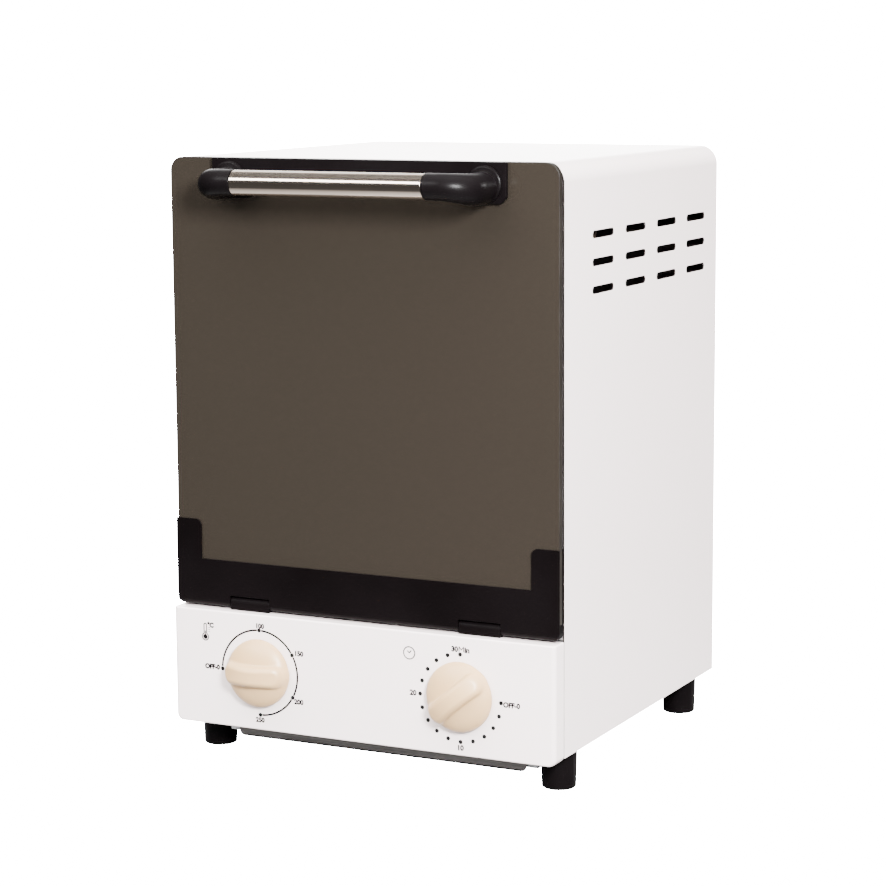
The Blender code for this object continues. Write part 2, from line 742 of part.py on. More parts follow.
def make_control_bracket():
    """Upright sheet that carries the thermostat and the timer."""
    half = case_inside - BRACKET_SIDE
    top = chamber_floor - LINER_WALL - SHIELD_DROP - SHEET - GAP
    outer = rounded_rectangle(-half, half, case_bottom + SHEET + GAP, top, PANEL_BEND, 3)
    holes = [circle(x, dial_z, SHAFT_RADIUS + GAP)
             for x in (-dial_x, dial_x)]
    return flat_outline("control_bracket", [outer] + holes, SHEET, "XZ",
                        (0, bracket_front + SHEET / 2, 0), zinc_sheet)


def switch_body(name, x, size, material):
    """Housing of a rotary control with a blind bore for its shaft."""
    width, depth, height = size
    body = block(name, (x - width / 2, switch_front, dial_z - height / 2),
                 (x + width / 2, switch_front + depth, dial_z + height / 2), material)
    bevel(body, SWITCH_EDGE, 2)
    bore = rod(name + "_bore", (x, switch_front - OVERRUN, dial_z),
               (x, switch_front + SHAFT_BITE + GAP, dial_z), SHAFT_RADIUS + GAP,
               SMALL_TURN_STEPS, None, cutters)
    boolean(body, bore, "DIFFERENCE")
    return body


def make_timer_bell():
    """Pressed bell cup on the back of the timer."""
    inner = TIMER_BELL_RADIUS - TIMER_BELL_WALL
    rise = TIMER_BELL_HEIGHT - TIMER_BELL_WALL
    outside = [(TIMER_BELL_RADIUS * math.sin(a), TIMER_BELL_HEIGHT * math.cos(a))
               for a in quarter_angles()]
    inside = [(inner * math.sin(a), rise * math.cos(a))
              for a in reversed(quarter_angles())]
    outside[0] = (0, TIMER_BELL_HEIGHT)
    inside[-1] = (0, rise)
    bell = turned("timer_bell", outside + inside, SMALL_TURN_STEPS, brushed_steel)
    bell.location = (dial_x, switch_front + TIMER_SIZE[1] + GAP, dial_z)
    bell.rotation_euler = (-math.pi / 2, 0, 0)
    return bell


def make_terminal_block():
    """Mains terminal block on the base beside the cord gland."""
    width, depth, height = TERMINAL_SIZE
    x = gland_x
    y = rear_y - SHEET - TERMINAL_INSET
    z = case_bottom + SHEET + GAP
    body = block("terminal_block", (x - width / 2, y - depth, z),
                 (x + width / 2, y, z + height), ceramic)
    bevel(body, SWITCH_EDGE, 2)
    return body


def make_cord_gland():
    """Moulded bush in the rear panel, where the mains lead goes in."""
    profile = [(GLAND_NECK_RADIUS, GLAND_REACH),
               (GLAND_FLANGE_RADIUS, GLAND_FLANGE), (GLAND_FLANGE_RADIUS, GAP),
               (GLAND_NECK_RADIUS, GAP), (GLAND_NECK_RADIUS, -GLAND_INNER_LENGTH),
               (GLAND_BORE_RADIUS, -GLAND_INNER_LENGTH), (GLAND_BORE_RADIUS, GLAND_REACH),
               (GLAND_NECK_RADIUS, GLAND_REACH)]
    gland = turned("cord_gland", profile, ROUND_STEPS, black_plastic)
    gland.location = (gland_x, rear_y, case_bottom + GLAND_RISE)
    gland.rotation_euler = (-math.pi / 2, 0, 0)
    return gland


def make_feet():
    """Four moulded feet with a screw recess underneath."""
    top = FOOT_HEIGHT - GAP
    profile = [(0, top), (FOOT_TOP_RADIUS, top), (FOOT_BOTTOM_RADIUS, FOOT_EDGE),
               (FOOT_BOTTOM_RADIUS - FOOT_EDGE, 0), (FOOT_RECESS_RADIUS, 0),
               (FOOT_RECESS_RADIUS, FOOT_RECESS_DEPTH), (0, FOOT_RECESS_DEPTH)]
    x = case_half - FOOT_SIDE_INSET
    rows = (("front", edge_y + FOOT_FRONT_INSET), ("rear", rear_y - FOOT_REAR_INSET))
    for row, y in rows:
        for side, sign in (("left", -1), ("right", 1)):
            foot = turned(f"foot_{row}_{side}", profile, ROUND_STEPS, black_plastic)
            foot.location = (sign * x, y, 0)


def make_hinges():
    """Two fixed knuckles on the panel's ledge, with their pins."""
    radius = rail_radius - KNUCKLE_CLEARANCE
    low = ledge + GAP
    outline = [(pivot_y - radius, low), (pivot_y + radius, low)]
    outline += arc(pivot_y, pivot_z, radius, 0, 180, 8)
    for side, sign in (("left", -1), ("right", 1)):
        x = sign * hinge_x
        bore = circle(pivot_y, pivot_z, PIN_RADIUS + GAP, SMALL_TURN_STEPS)
        flat_outline("hinge_knuckle_" + side, [outline, bore], KNUCKLE_WIDTH, "YZ",
                     (x, 0, 0), black_paint)
        reach = KNUCKLE_WIDTH / 2 + GAP + PIN_BITE
        pin = rod("hinge_pin_" + side, (x - reach, pivot_y, pivot_z),
                  (x + reach, pivot_y, pivot_z), PIN_RADIUS, SMALL_TURN_STEPS,
                  brushed_steel)
        smooth(pin)


def rail_front_outline():
    """The rail seen from the front: a strip with a raised tab at either end."""
    tab_top = rail_top + RAIL_TAB_RISE
    inner = rail_half - RAIL_TAB_WIDTH
    right = (arc(rail_half - RAIL_CORNER, rail_bottom + RAIL_CORNER, RAIL_CORNER, -90, 0, 5)
             + [(rail_half, tab_top)]
             + arc(inner + RAIL_TAB_CORNER, tab_top - RAIL_TAB_CORNER, RAIL_TAB_CORNER,
                   90, 180, 5)
             + [(inner, rail_top)])
    return right + [(-x, z) for x, z in reversed(right)]


def make_door_rail():
    """Channel along the door's foot: holds the glass and turns on the pins."""
    middle = (rail_front + rail_back) / 2
    rail = flat_outline("door_rail", [rail_front_outline()], rail_back - rail_front,
                        "XZ", (0, middle, 0), black_paint)
    top = rail_top + RAIL_TAB_RISE + OVERRUN
    section = [(rail_back, top), (rail_front, top)]
    section += arc(pivot_y, pivot_z, rail_radius, 180, 360, 12)
    rounding = flat_outline("rail_section", [section], 2 * (rail_half + OVERRUN), "YZ",
                            (0, 0, 0), None, cutters)
    boolean(rail, rounding, "INTERSECT")
    slot_half = rail_half + OVERRUN
    slot = block("rail_glass_slot", (-slot_half, glass_front - GAP, glass_bottom - GAP),
                 (slot_half, glass_back + GAP, top), None, cutters)
    boolean(rail, slot, "DIFFERENCE")
    notch_half = KNUCKLE_WIDTH / 2 + GAP
    notch_top = pivot_z + rail_radius + GAP
    bm = bmesh.new()
    for sign in (-1, 1):
        x = sign * hinge_x
        add_cube(bm, (x - notch_half, rail_front - OVERRUN, rail_bottom - OVERRUN),
                 (x + notch_half, rail_back + OVERRUN, notch_top))
    boolean(rail, finish_mesh("rail_notches", bm, None, cutters), "DIFFERENCE")
    bm = bmesh.new()
    for sign in (-1, 1):
        x = sign * hinge_x
        reach = notch_half + PIN_BITE + GAP
        add_rod(bm, (x - reach, pivot_y, pivot_z), (x + reach, pivot_y, pivot_z),
                PIN_RADIUS + GAP, SMALL_TURN_STEPS)
    boolean(rail, finish_mesh("rail_pin_bores", bm, None, cutters), "DIFFERENCE")
    return rail


def make_door_glass():
    """Tinted toughened pane with round top corners and two screw holes."""
    high = case_top - GLASS_CORNER
    outer = ([(-glass_half, glass_bottom), (glass_half, glass_bottom)]
             + arc(glass_half - GLASS_CORNER, high, GLASS_CORNER, 0, 90, BAR_SIDES)
             + arc(GLASS_CORNER - glass_half, high, GLASS_CORNER, 90, 180, BAR_SIDES))
    holes = [circle(x, bar_z, SCREW_RADIUS + GAP, SMALL_TURN_STEPS)
             for x in (-boss_x, boss_x)]
    return flat_outline("door_glass", [outer] + holes, GLASS_THICKNESS, "XZ",
                        (0, (glass_front + glass_back) / 2, 0), dark_glass)


def make_handle_plate():
    """Black plate under the handle, deeper under the two bosses."""
    low = case_top - HANDLE_PLATE_HEIGHT
    waist = case_top - HANDLE_PLATE_WAIST
    lobe = plate_half - HANDLE_LOBE_WIDTH
    right = [(plate_half, case_top), (plate_half, low + HANDLE_PLATE_CUT),
             (plate_half - HANDLE_PLATE_CUT, low), (lobe, low),
             (lobe - HANDLE_LOBE_SLOPE, waist)]
    outline = right + [(-x, z) for x, z in reversed(right)]
    holes = [circle(x, bar_z, SCREW_RADIUS + GAP, SMALL_TURN_STEPS)
             for x in (-boss_x, boss_x)]
    return flat_outline("handle_plate", [outline] + holes, HANDLE_PLATE_THICKNESS, "XZ",
                        (0, plate_front + HANDLE_PLATE_THICKNESS / 2, 0), black_plastic)


def handle_path():
    """Path and radii of the right handle end, from the bar round to the plate."""
    bend_y = bar_y + HANDLE_BEND
    seat = plate_front - GAP
    path = [((bar_half, bar_y), HANDLE_NECK_RADIUS)]
    for step in range(HANDLE_STEPS + 1):
        angle = step / HANDLE_STEPS * math.pi / 2
        place = (boss_x - HANDLE_BEND + HANDLE_BEND * math.sin(angle),
                 bend_y - HANDLE_BEND * math.cos(angle))
        path.append((place, HANDLE_NECK_RADIUS))
    start = seat - HANDLE_FLARE
    length = HANDLE_FLARE - HANDLE_COLLAR
    for step in range(HANDLE_FLARE_STEPS + 1):
        share = step / HANDLE_FLARE_STEPS
        blend = share * share * (3 - 2 * share)
        radius = HANDLE_NECK_RADIUS + (HANDLE_BOSS_RADIUS - HANDLE_NECK_RADIUS) * blend
        path.append(((boss_x, start + length * share), radius))
    path.append(((boss_x, seat), HANDLE_BOSS_RADIUS))
    return path


def make_handle_ends():
    """Moulded ends: each plugs into the bar and stands on the plate."""
    path = handle_path()
    ends = []
    for side, sign in (("left", -1), ("right", 1)):
        points = [(sign * x, y, bar_z) for (x, y), radius in path]
        radii = [radius for place, radius in path]
        end = wire("handle_end_" + side, points, radii, 6, black_plastic)
        spigot = rod(f"spigot_{side}", (sign * (bar_half - SPIGOT_LENGTH), bar_y, bar_z),
                     (sign * (bar_half + BAR_RADIUS), bar_y, bar_z),
                     BAR_RADIUS - BAR_WALL - GAP, SMALL_TURN_STEPS, None, cutters)
        boolean(end, spigot, "UNION")
        seat = plate_front - GAP
        hole = rod(f"boss_hole_{side}", (sign * boss_x, seat + OVERRUN, bar_z),
                   (sign * boss_x, seat - SCREW_BITE - GAP, bar_z),
                   SCREW_RADIUS + GAP, SMALL_TURN_STEPS, None, cutters)
        boolean(end, hole, "DIFFERENCE")
        ends.append(end)
    return ends


def make_handle_bar():
    """Brushed steel tube between the two ends."""
    half = bar_half - GAP
    inner = BAR_RADIUS - BAR_WALL
    profile = [(BAR_RADIUS, half), (BAR_RADIUS, -half), (inner, -half), (inner, half),
               (BAR_RADIUS, half)]
    bar = turned("handle_bar", profile, ROUND_STEPS, brushed_steel)
    bar.location = (0, bar_y, bar_z)
    bar.rotation_euler = (0, math.pi / 2, 0)
    return bar


def make_handle_screws():
    """Two screws from the inside through the glass into the handle ends."""
    head_foot = glass_back + GAP
    tip = plate_front - GAP - SCREW_BITE
    shank = head_foot - tip
    profile = [(0, SCREW_HEAD), (SCREW_HEAD_RADIUS * SCREW_CROWN_SHARE, SCREW_HEAD),
               (SCREW_HEAD_RADIUS, SCREW_HEAD * SCREW_RIM_SHARE), (SCREW_HEAD_RADIUS, 0),
               (SCREW_RADIUS, 0), (SCREW_RADIUS, -shank), (0, -shank)]
    screws = []
    for side, sign in (("left", -1), ("right", 1)):
        screw = turned("handle_screw_" + side, profile, SMALL_TURN_STEPS, brushed_steel)
        screw.location = (sign * boss_x, head_foot, bar_z)
        screw.rotation_euler = (-math.pi / 2, 0, 0)
        screws.append(screw)
    return screws


def grip_levels():
    """Share of the local height and inset of the side, from the grip's foot up."""
    straight = KNOB_GRIP_HEIGHT - KNOB_GRIP_ROUND
    levels = [(0.0, 0.0), (straight / KNOB_GRIP_HEIGHT, straight * KNOB_GRIP_DRAFT)]
    for angle in (math.pi / 6, math.pi / 3, math.pi / 2):
        height = straight + KNOB_GRIP_ROUND * math.sin(angle)
        inset = straight * KNOB_GRIP_DRAFT + KNOB_GRIP_ROUND * (1 - math.cos(angle))
        levels.append((height / KNOB_GRIP_HEIGHT, inset))
    return levels


def grip_half(u):
    """Half width of the grip's foot at u, which runs from pointer to tail."""
    share = (u + KNOB_POINTER) / (KNOB_POINTER + KNOB_RADIUS)
    half = (KNOB_GRIP_WIDTH * (1 - share) + KNOB_GRIP_TAIL_WIDTH * share) / 2
    end = KNOB_POINTER if u < 0 else KNOB_RADIUS
    into = max(0.0, (abs(u) - end + KNOB_GRIP_NOSE) / KNOB_GRIP_NOSE)
    return half * math.sqrt(max(0.0, 1 - into * into))


def grip_crest(u):
    """Height of the grip's arched top at u."""
    fall, end = ((KNOB_POINTER_FALL, KNOB_POINTER) if u < 0
                 else (KNOB_TAIL_FALL, KNOB_RADIUS))
    return KNOB_GRIP_HEIGHT - fall * (u / end) ** 2


def make_grip(name):
    """Grip bar with leaning sides, round ends and an arched, rounded top."""
    middle = (KNOB_RADIUS - KNOB_POINTER) / 2
    reach = (KNOB_RADIUS + KNOB_POINTER) / 2
    stations = [middle - reach * math.cos(math.pi * i / KNOB_GRIP_STATIONS)
                for i in range(KNOB_GRIP_STATIONS + 1)]
    low = KNOB_SKIRT / 2
    bm = bmesh.new()
    rings = []
    for share, inset in grip_levels():
        along = 1 - inset / reach
        across = 1 - 2 * inset / KNOB_GRIP_WIDTH
        row = []
        for u in stations:
            z = low + (grip_crest(u * along) - low) * share
            row.append((u * along, grip_half(u) * across, z))
        upper = [bm.verts.new(place) for place in row]
        lower = [bm.verts.new((u, -v, z)) for u, v, z in row[1:-1]]
        rings.append(upper + lower[::-1])
    count = len(rings[0])
    for inner, outer in zip(rings, rings[1:]):
        for i in range(count):
            j = (i + 1) % count
            bm.faces.new((inner[i], outer[i], outer[j], inner[j]))
    top = rings[-1]
    for i in range(KNOB_GRIP_STATIONS):
        corners = [top[i], top[i + 1], top[-i - 1], top[-i]] if i else [top[0], top[1], top[-1]]
        if i == KNOB_GRIP_STATIONS - 1:
            corners = [top[i], top[i + 1], top[-i]]
        bm.faces.new(corners)
    bm.faces.new(rings[0])
    bmesh.ops.recalc_face_normals(bm, faces=bm.faces)
    return finish_mesh(name, bm, None, cutters)


def make_knob(name, x, angle):
    """Round domed knob with a raised grip bar, pointing left at angle zero."""
    dome = KNOB_SKIRT + KNOB_DOME
    curve = [(KNOB_RADIUS * math.sin(a), KNOB_SKIRT + KNOB_DOME * math.cos(a))
             for a in quarter_angles()]
    curve[0] = (0, dome)
    profile = curve + [(KNOB_RADIUS, 0), (0, 0)]
    knob = turned(name, profile, TURN_STEPS, cream_plastic)
    grip = make_grip(name + "_grip")
    boolean(knob, grip, "UNION")
    bore = rod(name + "_bore", (0, 0, -OVERRUN), (0, 0, SHAFT_BITE + GAP),
               SHAFT_RADIUS + GAP, SMALL_TURN_STEPS, None, cutters)
    boolean(knob, bore, "DIFFERENCE")
    foot = panel_front - KNOB_STANDOFF
    turn = Matrix.Rotation(angle, 4, "Y") @ Matrix.Rotation(math.pi / 2, 4, "X")
    for piece in (knob, grip, bore):
        piece.matrix_world = Matrix.Translation((x, foot, dial_z)) @ turn @ piece.matrix_world
    return knob


def make_shaft(name, x):
    """Steel shaft from the switch through bracket and panel into the knob."""
    start = panel_front - KNOB_STANDOFF - SHAFT_BITE
    shaft = rod(name, (x, start, dial_z), (x, switch_front + SHAFT_BITE, dial_z),
                SHAFT_RADIUS, SMALL_TURN_STEPS, brushed_steel)
    return smooth(shaft)


def make_wire_rack():
    """Welded wire rack: a round frame, bars front to back and two braces."""
    half = chamber_half - RACK_SIDE_CLEARANCE - RACK_FRAME_RADIUS
    front = liner_front + RACK_FRONT_INSET
    back = front + rack_depth
    axis_z = rack_ledge + GAP + RACK_FRAME_RADIUS
    loop = rounded_rectangle(-half, half, front, back, RACK_CORNER, 4)
    points = [(x, y, axis_z) for x, y in loop]
    rack = wire("wire_rack", points, [RACK_FRAME_RADIUS] * len(points), 2, chrome_wire,
                cyclic=True)
    bar_axis = axis_z + RACK_FRAME_RADIUS - RACK_WIRE_RADIUS
    bars = 2 * int((half - RACK_CORNER) / RACK_WIRE_PITCH) + 1
    bm = bmesh.new()
    for index in range(bars):
        x = (index - (bars - 1) / 2) * RACK_WIRE_PITCH
        add_rod(bm, (x, front, bar_axis), (x, back, bar_axis), RACK_WIRE_RADIUS, BAR_SIDES)
    boolean(rack, finish_mesh("rack_bars", bm, None, cutters), "UNION")
    brace_z = bar_axis - RACK_BRACE_DROP
    brace_half = (bars - 1) / 2 * RACK_WIRE_PITCH + RACK_WIRE_RADIUS * 2
    bm = bmesh.new()
    for y in (front + RACK_BRACE_INSET, back - RACK_BRACE_INSET):
        add_rod(bm, (-brace_half, y, brace_z), (brace_half, y, brace_z),
                RACK_WIRE_RADIUS, BAR_SIDES)
    boolean(rack, finish_mesh("rack_braces", bm, None, cutters), "UNION")
    return rack


def make_instrument_tray():
    """Deep drawn tray with a turned-out rim, which lies on the rack."""
    floor = rack_ledge + 2 * GAP + 2 * RACK_FRAME_RADIUS
    middle = liner_front + RACK_FRONT_INSET + rack_depth / 2
    half_w = chamber_half - TRAY_SIDE
    half_d = rack_depth / 2 - TRAY_END

    def outline(inset):
        return rounded_rectangle(inset - half_w, half_w - inset, middle - half_d + inset,
                                 middle + half_d - inset, TRAY_CORNER, 4)

    foot = TRAY_RIM + TRAY_TAPER
    levels = [(outline(foot + TRAY_WALL), floor),
              (outline(foot), floor + TRAY_WALL),
              (outline(TRAY_RIM), floor + TRAY_HEIGHT - TRAY_WALL),
              (outline(0), floor + TRAY_HEIGHT)]
    return lofted_pan("instrument_tray", levels, TRAY_WALL, brushed_steel)


def make_crumb_tray():
    """Shallow sheet tray under the base, with a deeper lip in front."""
    floor = case_bottom - CRUMB_FLOOR_DROP
    top = case_bottom - CRUMB_TOP_DROP
    inner = crumb_half - CRUMB_SIDE_INSET
    tray = open_box("crumb_tray", (-inner, crumb_front, floor),
                    (inner, crumb_front + crumb_depth, top), (0, 0, 1), SHEET, 0, grey_sheet)
    low = case_bottom - CRUMB_LIP_DROP
    centre = low + CRUMB_LIP_CORNER
    lip_outline = (arc(crumb_half - CRUMB_LIP_CORNER, centre, CRUMB_LIP_CORNER, -90, 0, 4)
                   + [(crumb_half, top), (-crumb_half, top)]
                   + arc(CRUMB_LIP_CORNER - crumb_half, centre, CRUMB_LIP_CORNER, 180, 270, 4))
    lip = flat_outline("crumb_lip", [lip_outline], SHEET, "XZ",
                       (0, crumb_front, 0), None, cutters)
    boolean(tray, lip, "UNION")
    return tray


def make_tray_guides():
    """Two folded channels that carry the crumb tray, closed beside its lip."""
    outer = crumb_half + GUIDE_OUTSET
    top = case_bottom - GAP
    low = case_bottom - GUIDE_HEIGHT
    inner = outer - GUIDE_LEDGE
    start = crumb_front + SHEET
    end = start + crumb_depth
    section = [(outer, top), (outer - GUIDE_TOP, top),
               (outer - GUIDE_TOP, top - SHEET), (outer - SHEET, top - SHEET),
               (outer - SHEET, low + SHEET), (inner, low + SHEET), (inner, low),
               (outer, low)]
    for side, sign in (("left", -1), ("right", 1)):
        outline = [(sign * x, z) for x, z in section]
        guide = flat_outline("tray_guide_" + side, [outline], end - start, "XZ",
                             (0, (start + end) / 2, 0), zinc_sheet)
        edges = sorted((sign * (crumb_half + GAP), sign * (outer - SHEET / 2)))
        tab = block("guide_tab_" + side, (edges[0], start, low + SHEET / 2),
                    (edges[1], start + SHEET, top - SHEET / 2), None, cutters)
        boolean(guide, tab, "UNION")


def build_cabinet():
    """Everything that stands still."""
    make_outer_case()
    make_rear_panel()
    make_base_plate()
    make_front_frame()
    make_chamber_liner()
    make_floor_shield()
    make_control_panel()
    make_control_bracket()
    switch_body("thermostat_body", -dial_x, THERMOSTAT_SIZE, phenolic)
    switch_body("timer_body", dial_x, TIMER_SIZE, zinc_sheet)
    make_timer_bell()
    make_terminal_block()
    make_cord_gland()
    make_heaters()
    make_hinges()
    make_tray_guides()
    make_feet()


def build_door():
    """The door, hung on an empty on the hinge line."""
    hinge = joint_empty("door_hinge_axis", (0, pivot_y, pivot_z))
    pieces = [make_door_rail(), make_door_glass(), make_handle_plate(), make_handle_bar()]
    pieces += make_handle_screws() + make_handle_ends()
    carry(hinge, *pieces)


def build_controls():
    """Two knobs, each with its shaft."""
    for name, x, angle in (("temperature", -dial_x, 0.0),
                           ("timer", dial_x, TIMER_REST_ANGLE)):
        axis = joint_empty(name + "_axis", (x, panel_front, dial_z))
        carry(axis, make_knob(name + "_knob", x, angle), make_shaft(name + "_shaft", x))


def build_slides():
    """The rack with its tray, and the crumb tray."""
    rack = joint_empty("rack_slide_axis", (0, liner_front, rack_ledge))
    carry(rack, make_wire_rack(), make_instrument_tray())
    crumbs = joint_empty("crumb_slide_axis", (0, crumb_front, case_bottom))
    carry(crumbs, make_crumb_tray())


build_cabinet()
build_door()
build_controls()
build_slides()
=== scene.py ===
"""Countertop dry heat sterilizer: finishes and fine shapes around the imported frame."""
import json
import math

import bmesh
import bpy
import numpy as np
from mathutils import Matrix, Vector


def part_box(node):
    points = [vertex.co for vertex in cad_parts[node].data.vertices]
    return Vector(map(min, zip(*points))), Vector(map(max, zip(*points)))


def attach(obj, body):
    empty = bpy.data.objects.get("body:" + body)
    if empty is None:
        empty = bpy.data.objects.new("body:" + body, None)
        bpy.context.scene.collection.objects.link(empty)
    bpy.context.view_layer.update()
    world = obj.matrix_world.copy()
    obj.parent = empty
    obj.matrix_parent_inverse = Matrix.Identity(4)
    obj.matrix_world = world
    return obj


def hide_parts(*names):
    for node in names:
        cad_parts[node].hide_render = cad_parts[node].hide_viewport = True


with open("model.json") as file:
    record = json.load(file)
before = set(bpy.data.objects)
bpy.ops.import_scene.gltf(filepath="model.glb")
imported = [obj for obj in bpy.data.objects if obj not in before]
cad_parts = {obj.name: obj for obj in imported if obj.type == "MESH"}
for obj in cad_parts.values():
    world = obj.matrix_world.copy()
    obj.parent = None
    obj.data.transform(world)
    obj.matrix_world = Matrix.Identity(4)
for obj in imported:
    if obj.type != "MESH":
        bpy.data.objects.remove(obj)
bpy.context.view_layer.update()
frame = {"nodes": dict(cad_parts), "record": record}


# The studio: a white floor, a lit wall behind, soft light from overhead, a key light
# at the front right, a long one at the front left, a weak one behind, and a camera
# with a long lens to the right of the cabinet and a little above it.
CAMERA_PLACE = (0.66546, -1.32676, 0.40427)
CAMERA_YAW = 0.46460
CAMERA_PITCH = 0.15484
CAMERA_ROLL = -0.00675
CAMERA_LENS = 104.86
CAMERA_SENSOR = 36.0
FLOOR_HALF = 30.0
FLOOR_WHITE = (0.16, 0.16, 0.16, 1.0)
FLOOR_FAR = (0.008, 0.008, 0.008, 1.0)
FLOOR_GLOW = 40.0
REFLECTED_NEAR = 0.16
REFLECTED_FAR = 0.55
SKY_STRENGTH = 20.0
BACKDROP = (2.0, 2.0, 2.0, 1.0)
# The lit wall: parts of a direction across and ahead where it starts and is full.
WALL_LEFT = (-0.72, -0.56)
WALL_RIGHT = (-0.10, -0.28)
WALL_AHEAD = (0.15, 0.50)
# Height of a direction from 0, straight down, to 1, straight up, and its share of
# the sky's strength.
DIFFUSE_LEVELS = ((0.0, 0.010), (0.50, 0.015), (0.72, 0.04), (0.88, 0.52), (1.0, 0.84))
ROOM_LEVELS = ((0.0, 0.005), (0.50, 0.0035), (0.62, 0.003), (0.92, 0.0015), (1.0, 0.006))
WALL_LEVELS = ((0.0, 0.025), (0.49, 0.10), (0.51, 0.50), (0.58, 0.50), (0.66, 0.025))
SKY_TINT = (1.0, 0.985, 0.975, 1.0)
LIGHTS = (
    # name, place, aim, width, height, power
    ("light_front_left", (-0.97, -1.82, 1.46), (0.0, -0.13, 0.33), 1.3, 0.6, 36.0),
    ("light_key", (0.80, -0.95, 0.66), (0.0, -0.08, 0.14), 0.26, 0.26, 80.0),
    ("light_behind", (-0.90, 1.45, 1.60), (0.0, 0.0, 0.30), 1.3, 0.9, 9.0),
)


def placed(name, data):
    """Object for its data, linked to the scene."""
    obj = bpy.data.objects.new(name, data)
    bpy.context.scene.collection.objects.link(obj)
    return obj


def add_camera():
    """Camera turned by yaw about Z, pitched down and rolled, without shift."""
    across = Vector((math.cos(CAMERA_YAW), math.sin(CAMERA_YAW), 0.0))
    ahead = Vector((-math.sin(CAMERA_YAW) * math.cos(CAMERA_PITCH),
                    math.cos(CAMERA_YAW) * math.cos(CAMERA_PITCH),
                    -math.sin(CAMERA_PITCH)))
    above = across.cross(ahead)
    right = math.cos(CAMERA_ROLL) * across + math.sin(CAMERA_ROLL) * above
    up = math.cos(CAMERA_ROLL) * above - math.sin(CAMERA_ROLL) * across
    camera = placed("camera", bpy.data.cameras.new("camera"))
    camera.data.sensor_width = CAMERA_SENSOR
    camera.data.lens = CAMERA_LENS
    turn = Matrix((right, up, -ahead)).transposed().to_4x4()
    camera.matrix_world = Matrix.Translation(CAMERA_PLACE) @ turn
    bpy.context.scene.camera = camera


def add_light(name, place, aim, width, height, power):
    """Rectangular soft light that faces its aim."""
    data = bpy.data.lights.new(name, "AREA")
    data.shape = "RECTANGLE"
    data.size = width
    data.size_y = height
    data.energy = power
    light = placed(name, data)
    light.location = place
    light.rotation_euler = (Vector(aim) - Vector(place)).to_track_quat("-Z", "Y").to_euler()


def feed(tree, node, inputs):
    """Give a node's inputs their values, or lead other nodes' outputs to them."""
    for name, value in dict(inputs).items():
        if isinstance(value, bpy.types.NodeSocket):
            tree.links.new(value, node.inputs[name])
        else:
            node.inputs[name].default_value = value


def add(tree, kind, inputs=(), **settings):
    """Shader node with its settings, and what feeds its inputs by name or number."""
    made = tree.nodes.new("ShaderNode" + kind)
    for name, value in settings.items():
        setattr(made, name, value)
    feed(tree, made, inputs)
    return made


def share_of(tree, value, start, end):
    """Where a value stands between a start, at 0, and an end, at 1."""
    return add(tree, "MapRange", {"Value": value, "From Min": start,
                                  "From Max": end}).outputs["Result"]


def product(tree, first, second):
    """One value times another."""
    return add(tree, "Math", {0: first, 1: second}, operation="MULTIPLY").outputs["Value"]


def mix(tree, share, first, second, **settings):
    """Blend of two colours: the first at share 0, the second at 1."""
    return add(tree, "Mix", {0: share, 6: first, 7: second}, data_type="RGBA",
               **settings).outputs[2]


def level_ramp(tree, height, levels):
    """Grey ramp from pairs of height and light."""
    ramp = add(tree, "ValToRGB", {"Fac": height})
    while len(ramp.color_ramp.elements) < len(levels):
        ramp.color_ramp.elements.new(0.5)
    for element, (place, level) in zip(ramp.color_ramp.elements, levels):
        element.position = place
        element.color = (level, level, level, 1.0)
    return ramp.outputs["Color"]


def add_world():
    """Soft light from above; reflections see a dim room and the lit wall behind."""
    world = bpy.data.worlds.new("studio")
    world.use_nodes = True
    tree = world.node_tree
    direction = add(tree, "TexCoord").outputs["Generated"]
    parts = add(tree, "SeparateXYZ", {"Vector": direction}).outputs
    path = add(tree, "LightPath").outputs
    height = share_of(tree, parts["Z"], -1.0, 1.0)
    wall = 1.0
    for axis, (start, full) in (("X", WALL_LEFT), ("X", WALL_RIGHT), ("Y", WALL_AHEAD)):
        wall = product(tree, wall, share_of(tree, parts[axis], start, full))
    room = mix(tree, wall, level_ramp(tree, height, ROOM_LEVELS),
               level_ramp(tree, height, WALL_LEVELS))
    mirrored = mix(tree, path["Is Glossy Ray"], level_ramp(tree, height, DIFFUSE_LEVELS), room)
    tinted = mix(tree, 1.0, mirrored, SKY_TINT, blend_type="MULTIPLY")
    seen = mix(tree, path["Is Camera Ray"], tinted, BACKDROP)
    feed(tree, tree.nodes["Background"], {"Color": seen, "Strength": SKY_STRENGTH})
    bpy.context.scene.world = world


def add_floor():
    """Flat white floor, which reflections see white only near the cabinet."""
    mesh = bpy.data.meshes.new("floor")
    half = FLOOR_HALF
    mesh.from_pydata([(-half, -half, 0), (half, -half, 0), (half, half, 0), (-half, half, 0)],
                     [], [(0, 1, 2, 3)])
    material = bpy.data.materials.new("floor_white")
    material.use_nodes = True
    tree = material.node_tree
    path = add(tree, "LightPath").outputs
    place = add(tree, "TexCoord").outputs["Object"]
    reach = add(tree, "VectorMath", {0: place}, operation="LENGTH").outputs["Value"]
    fade = product(tree, share_of(tree, reach, REFLECTED_NEAR, REFLECTED_FAR),
                   path["Is Glossy Ray"])
    feed(tree, tree.nodes["Principled BSDF"], {
        "Base Color": mix(tree, fade, FLOOR_WHITE, FLOOR_FAR),
        "Emission Color": (1.0, 1.0, 1.0, 1.0),
        "Emission Strength": product(tree, path["Is Camera Ray"], FLOOR_GLOW),
        "Roughness": 1.0, "Specular IOR Level": 0.0})
    mesh.materials.append(material)
    placed("floor", mesh)


add_camera()
add_world()
add_floor()
for light in LIGHTS:
    add_light(*light)


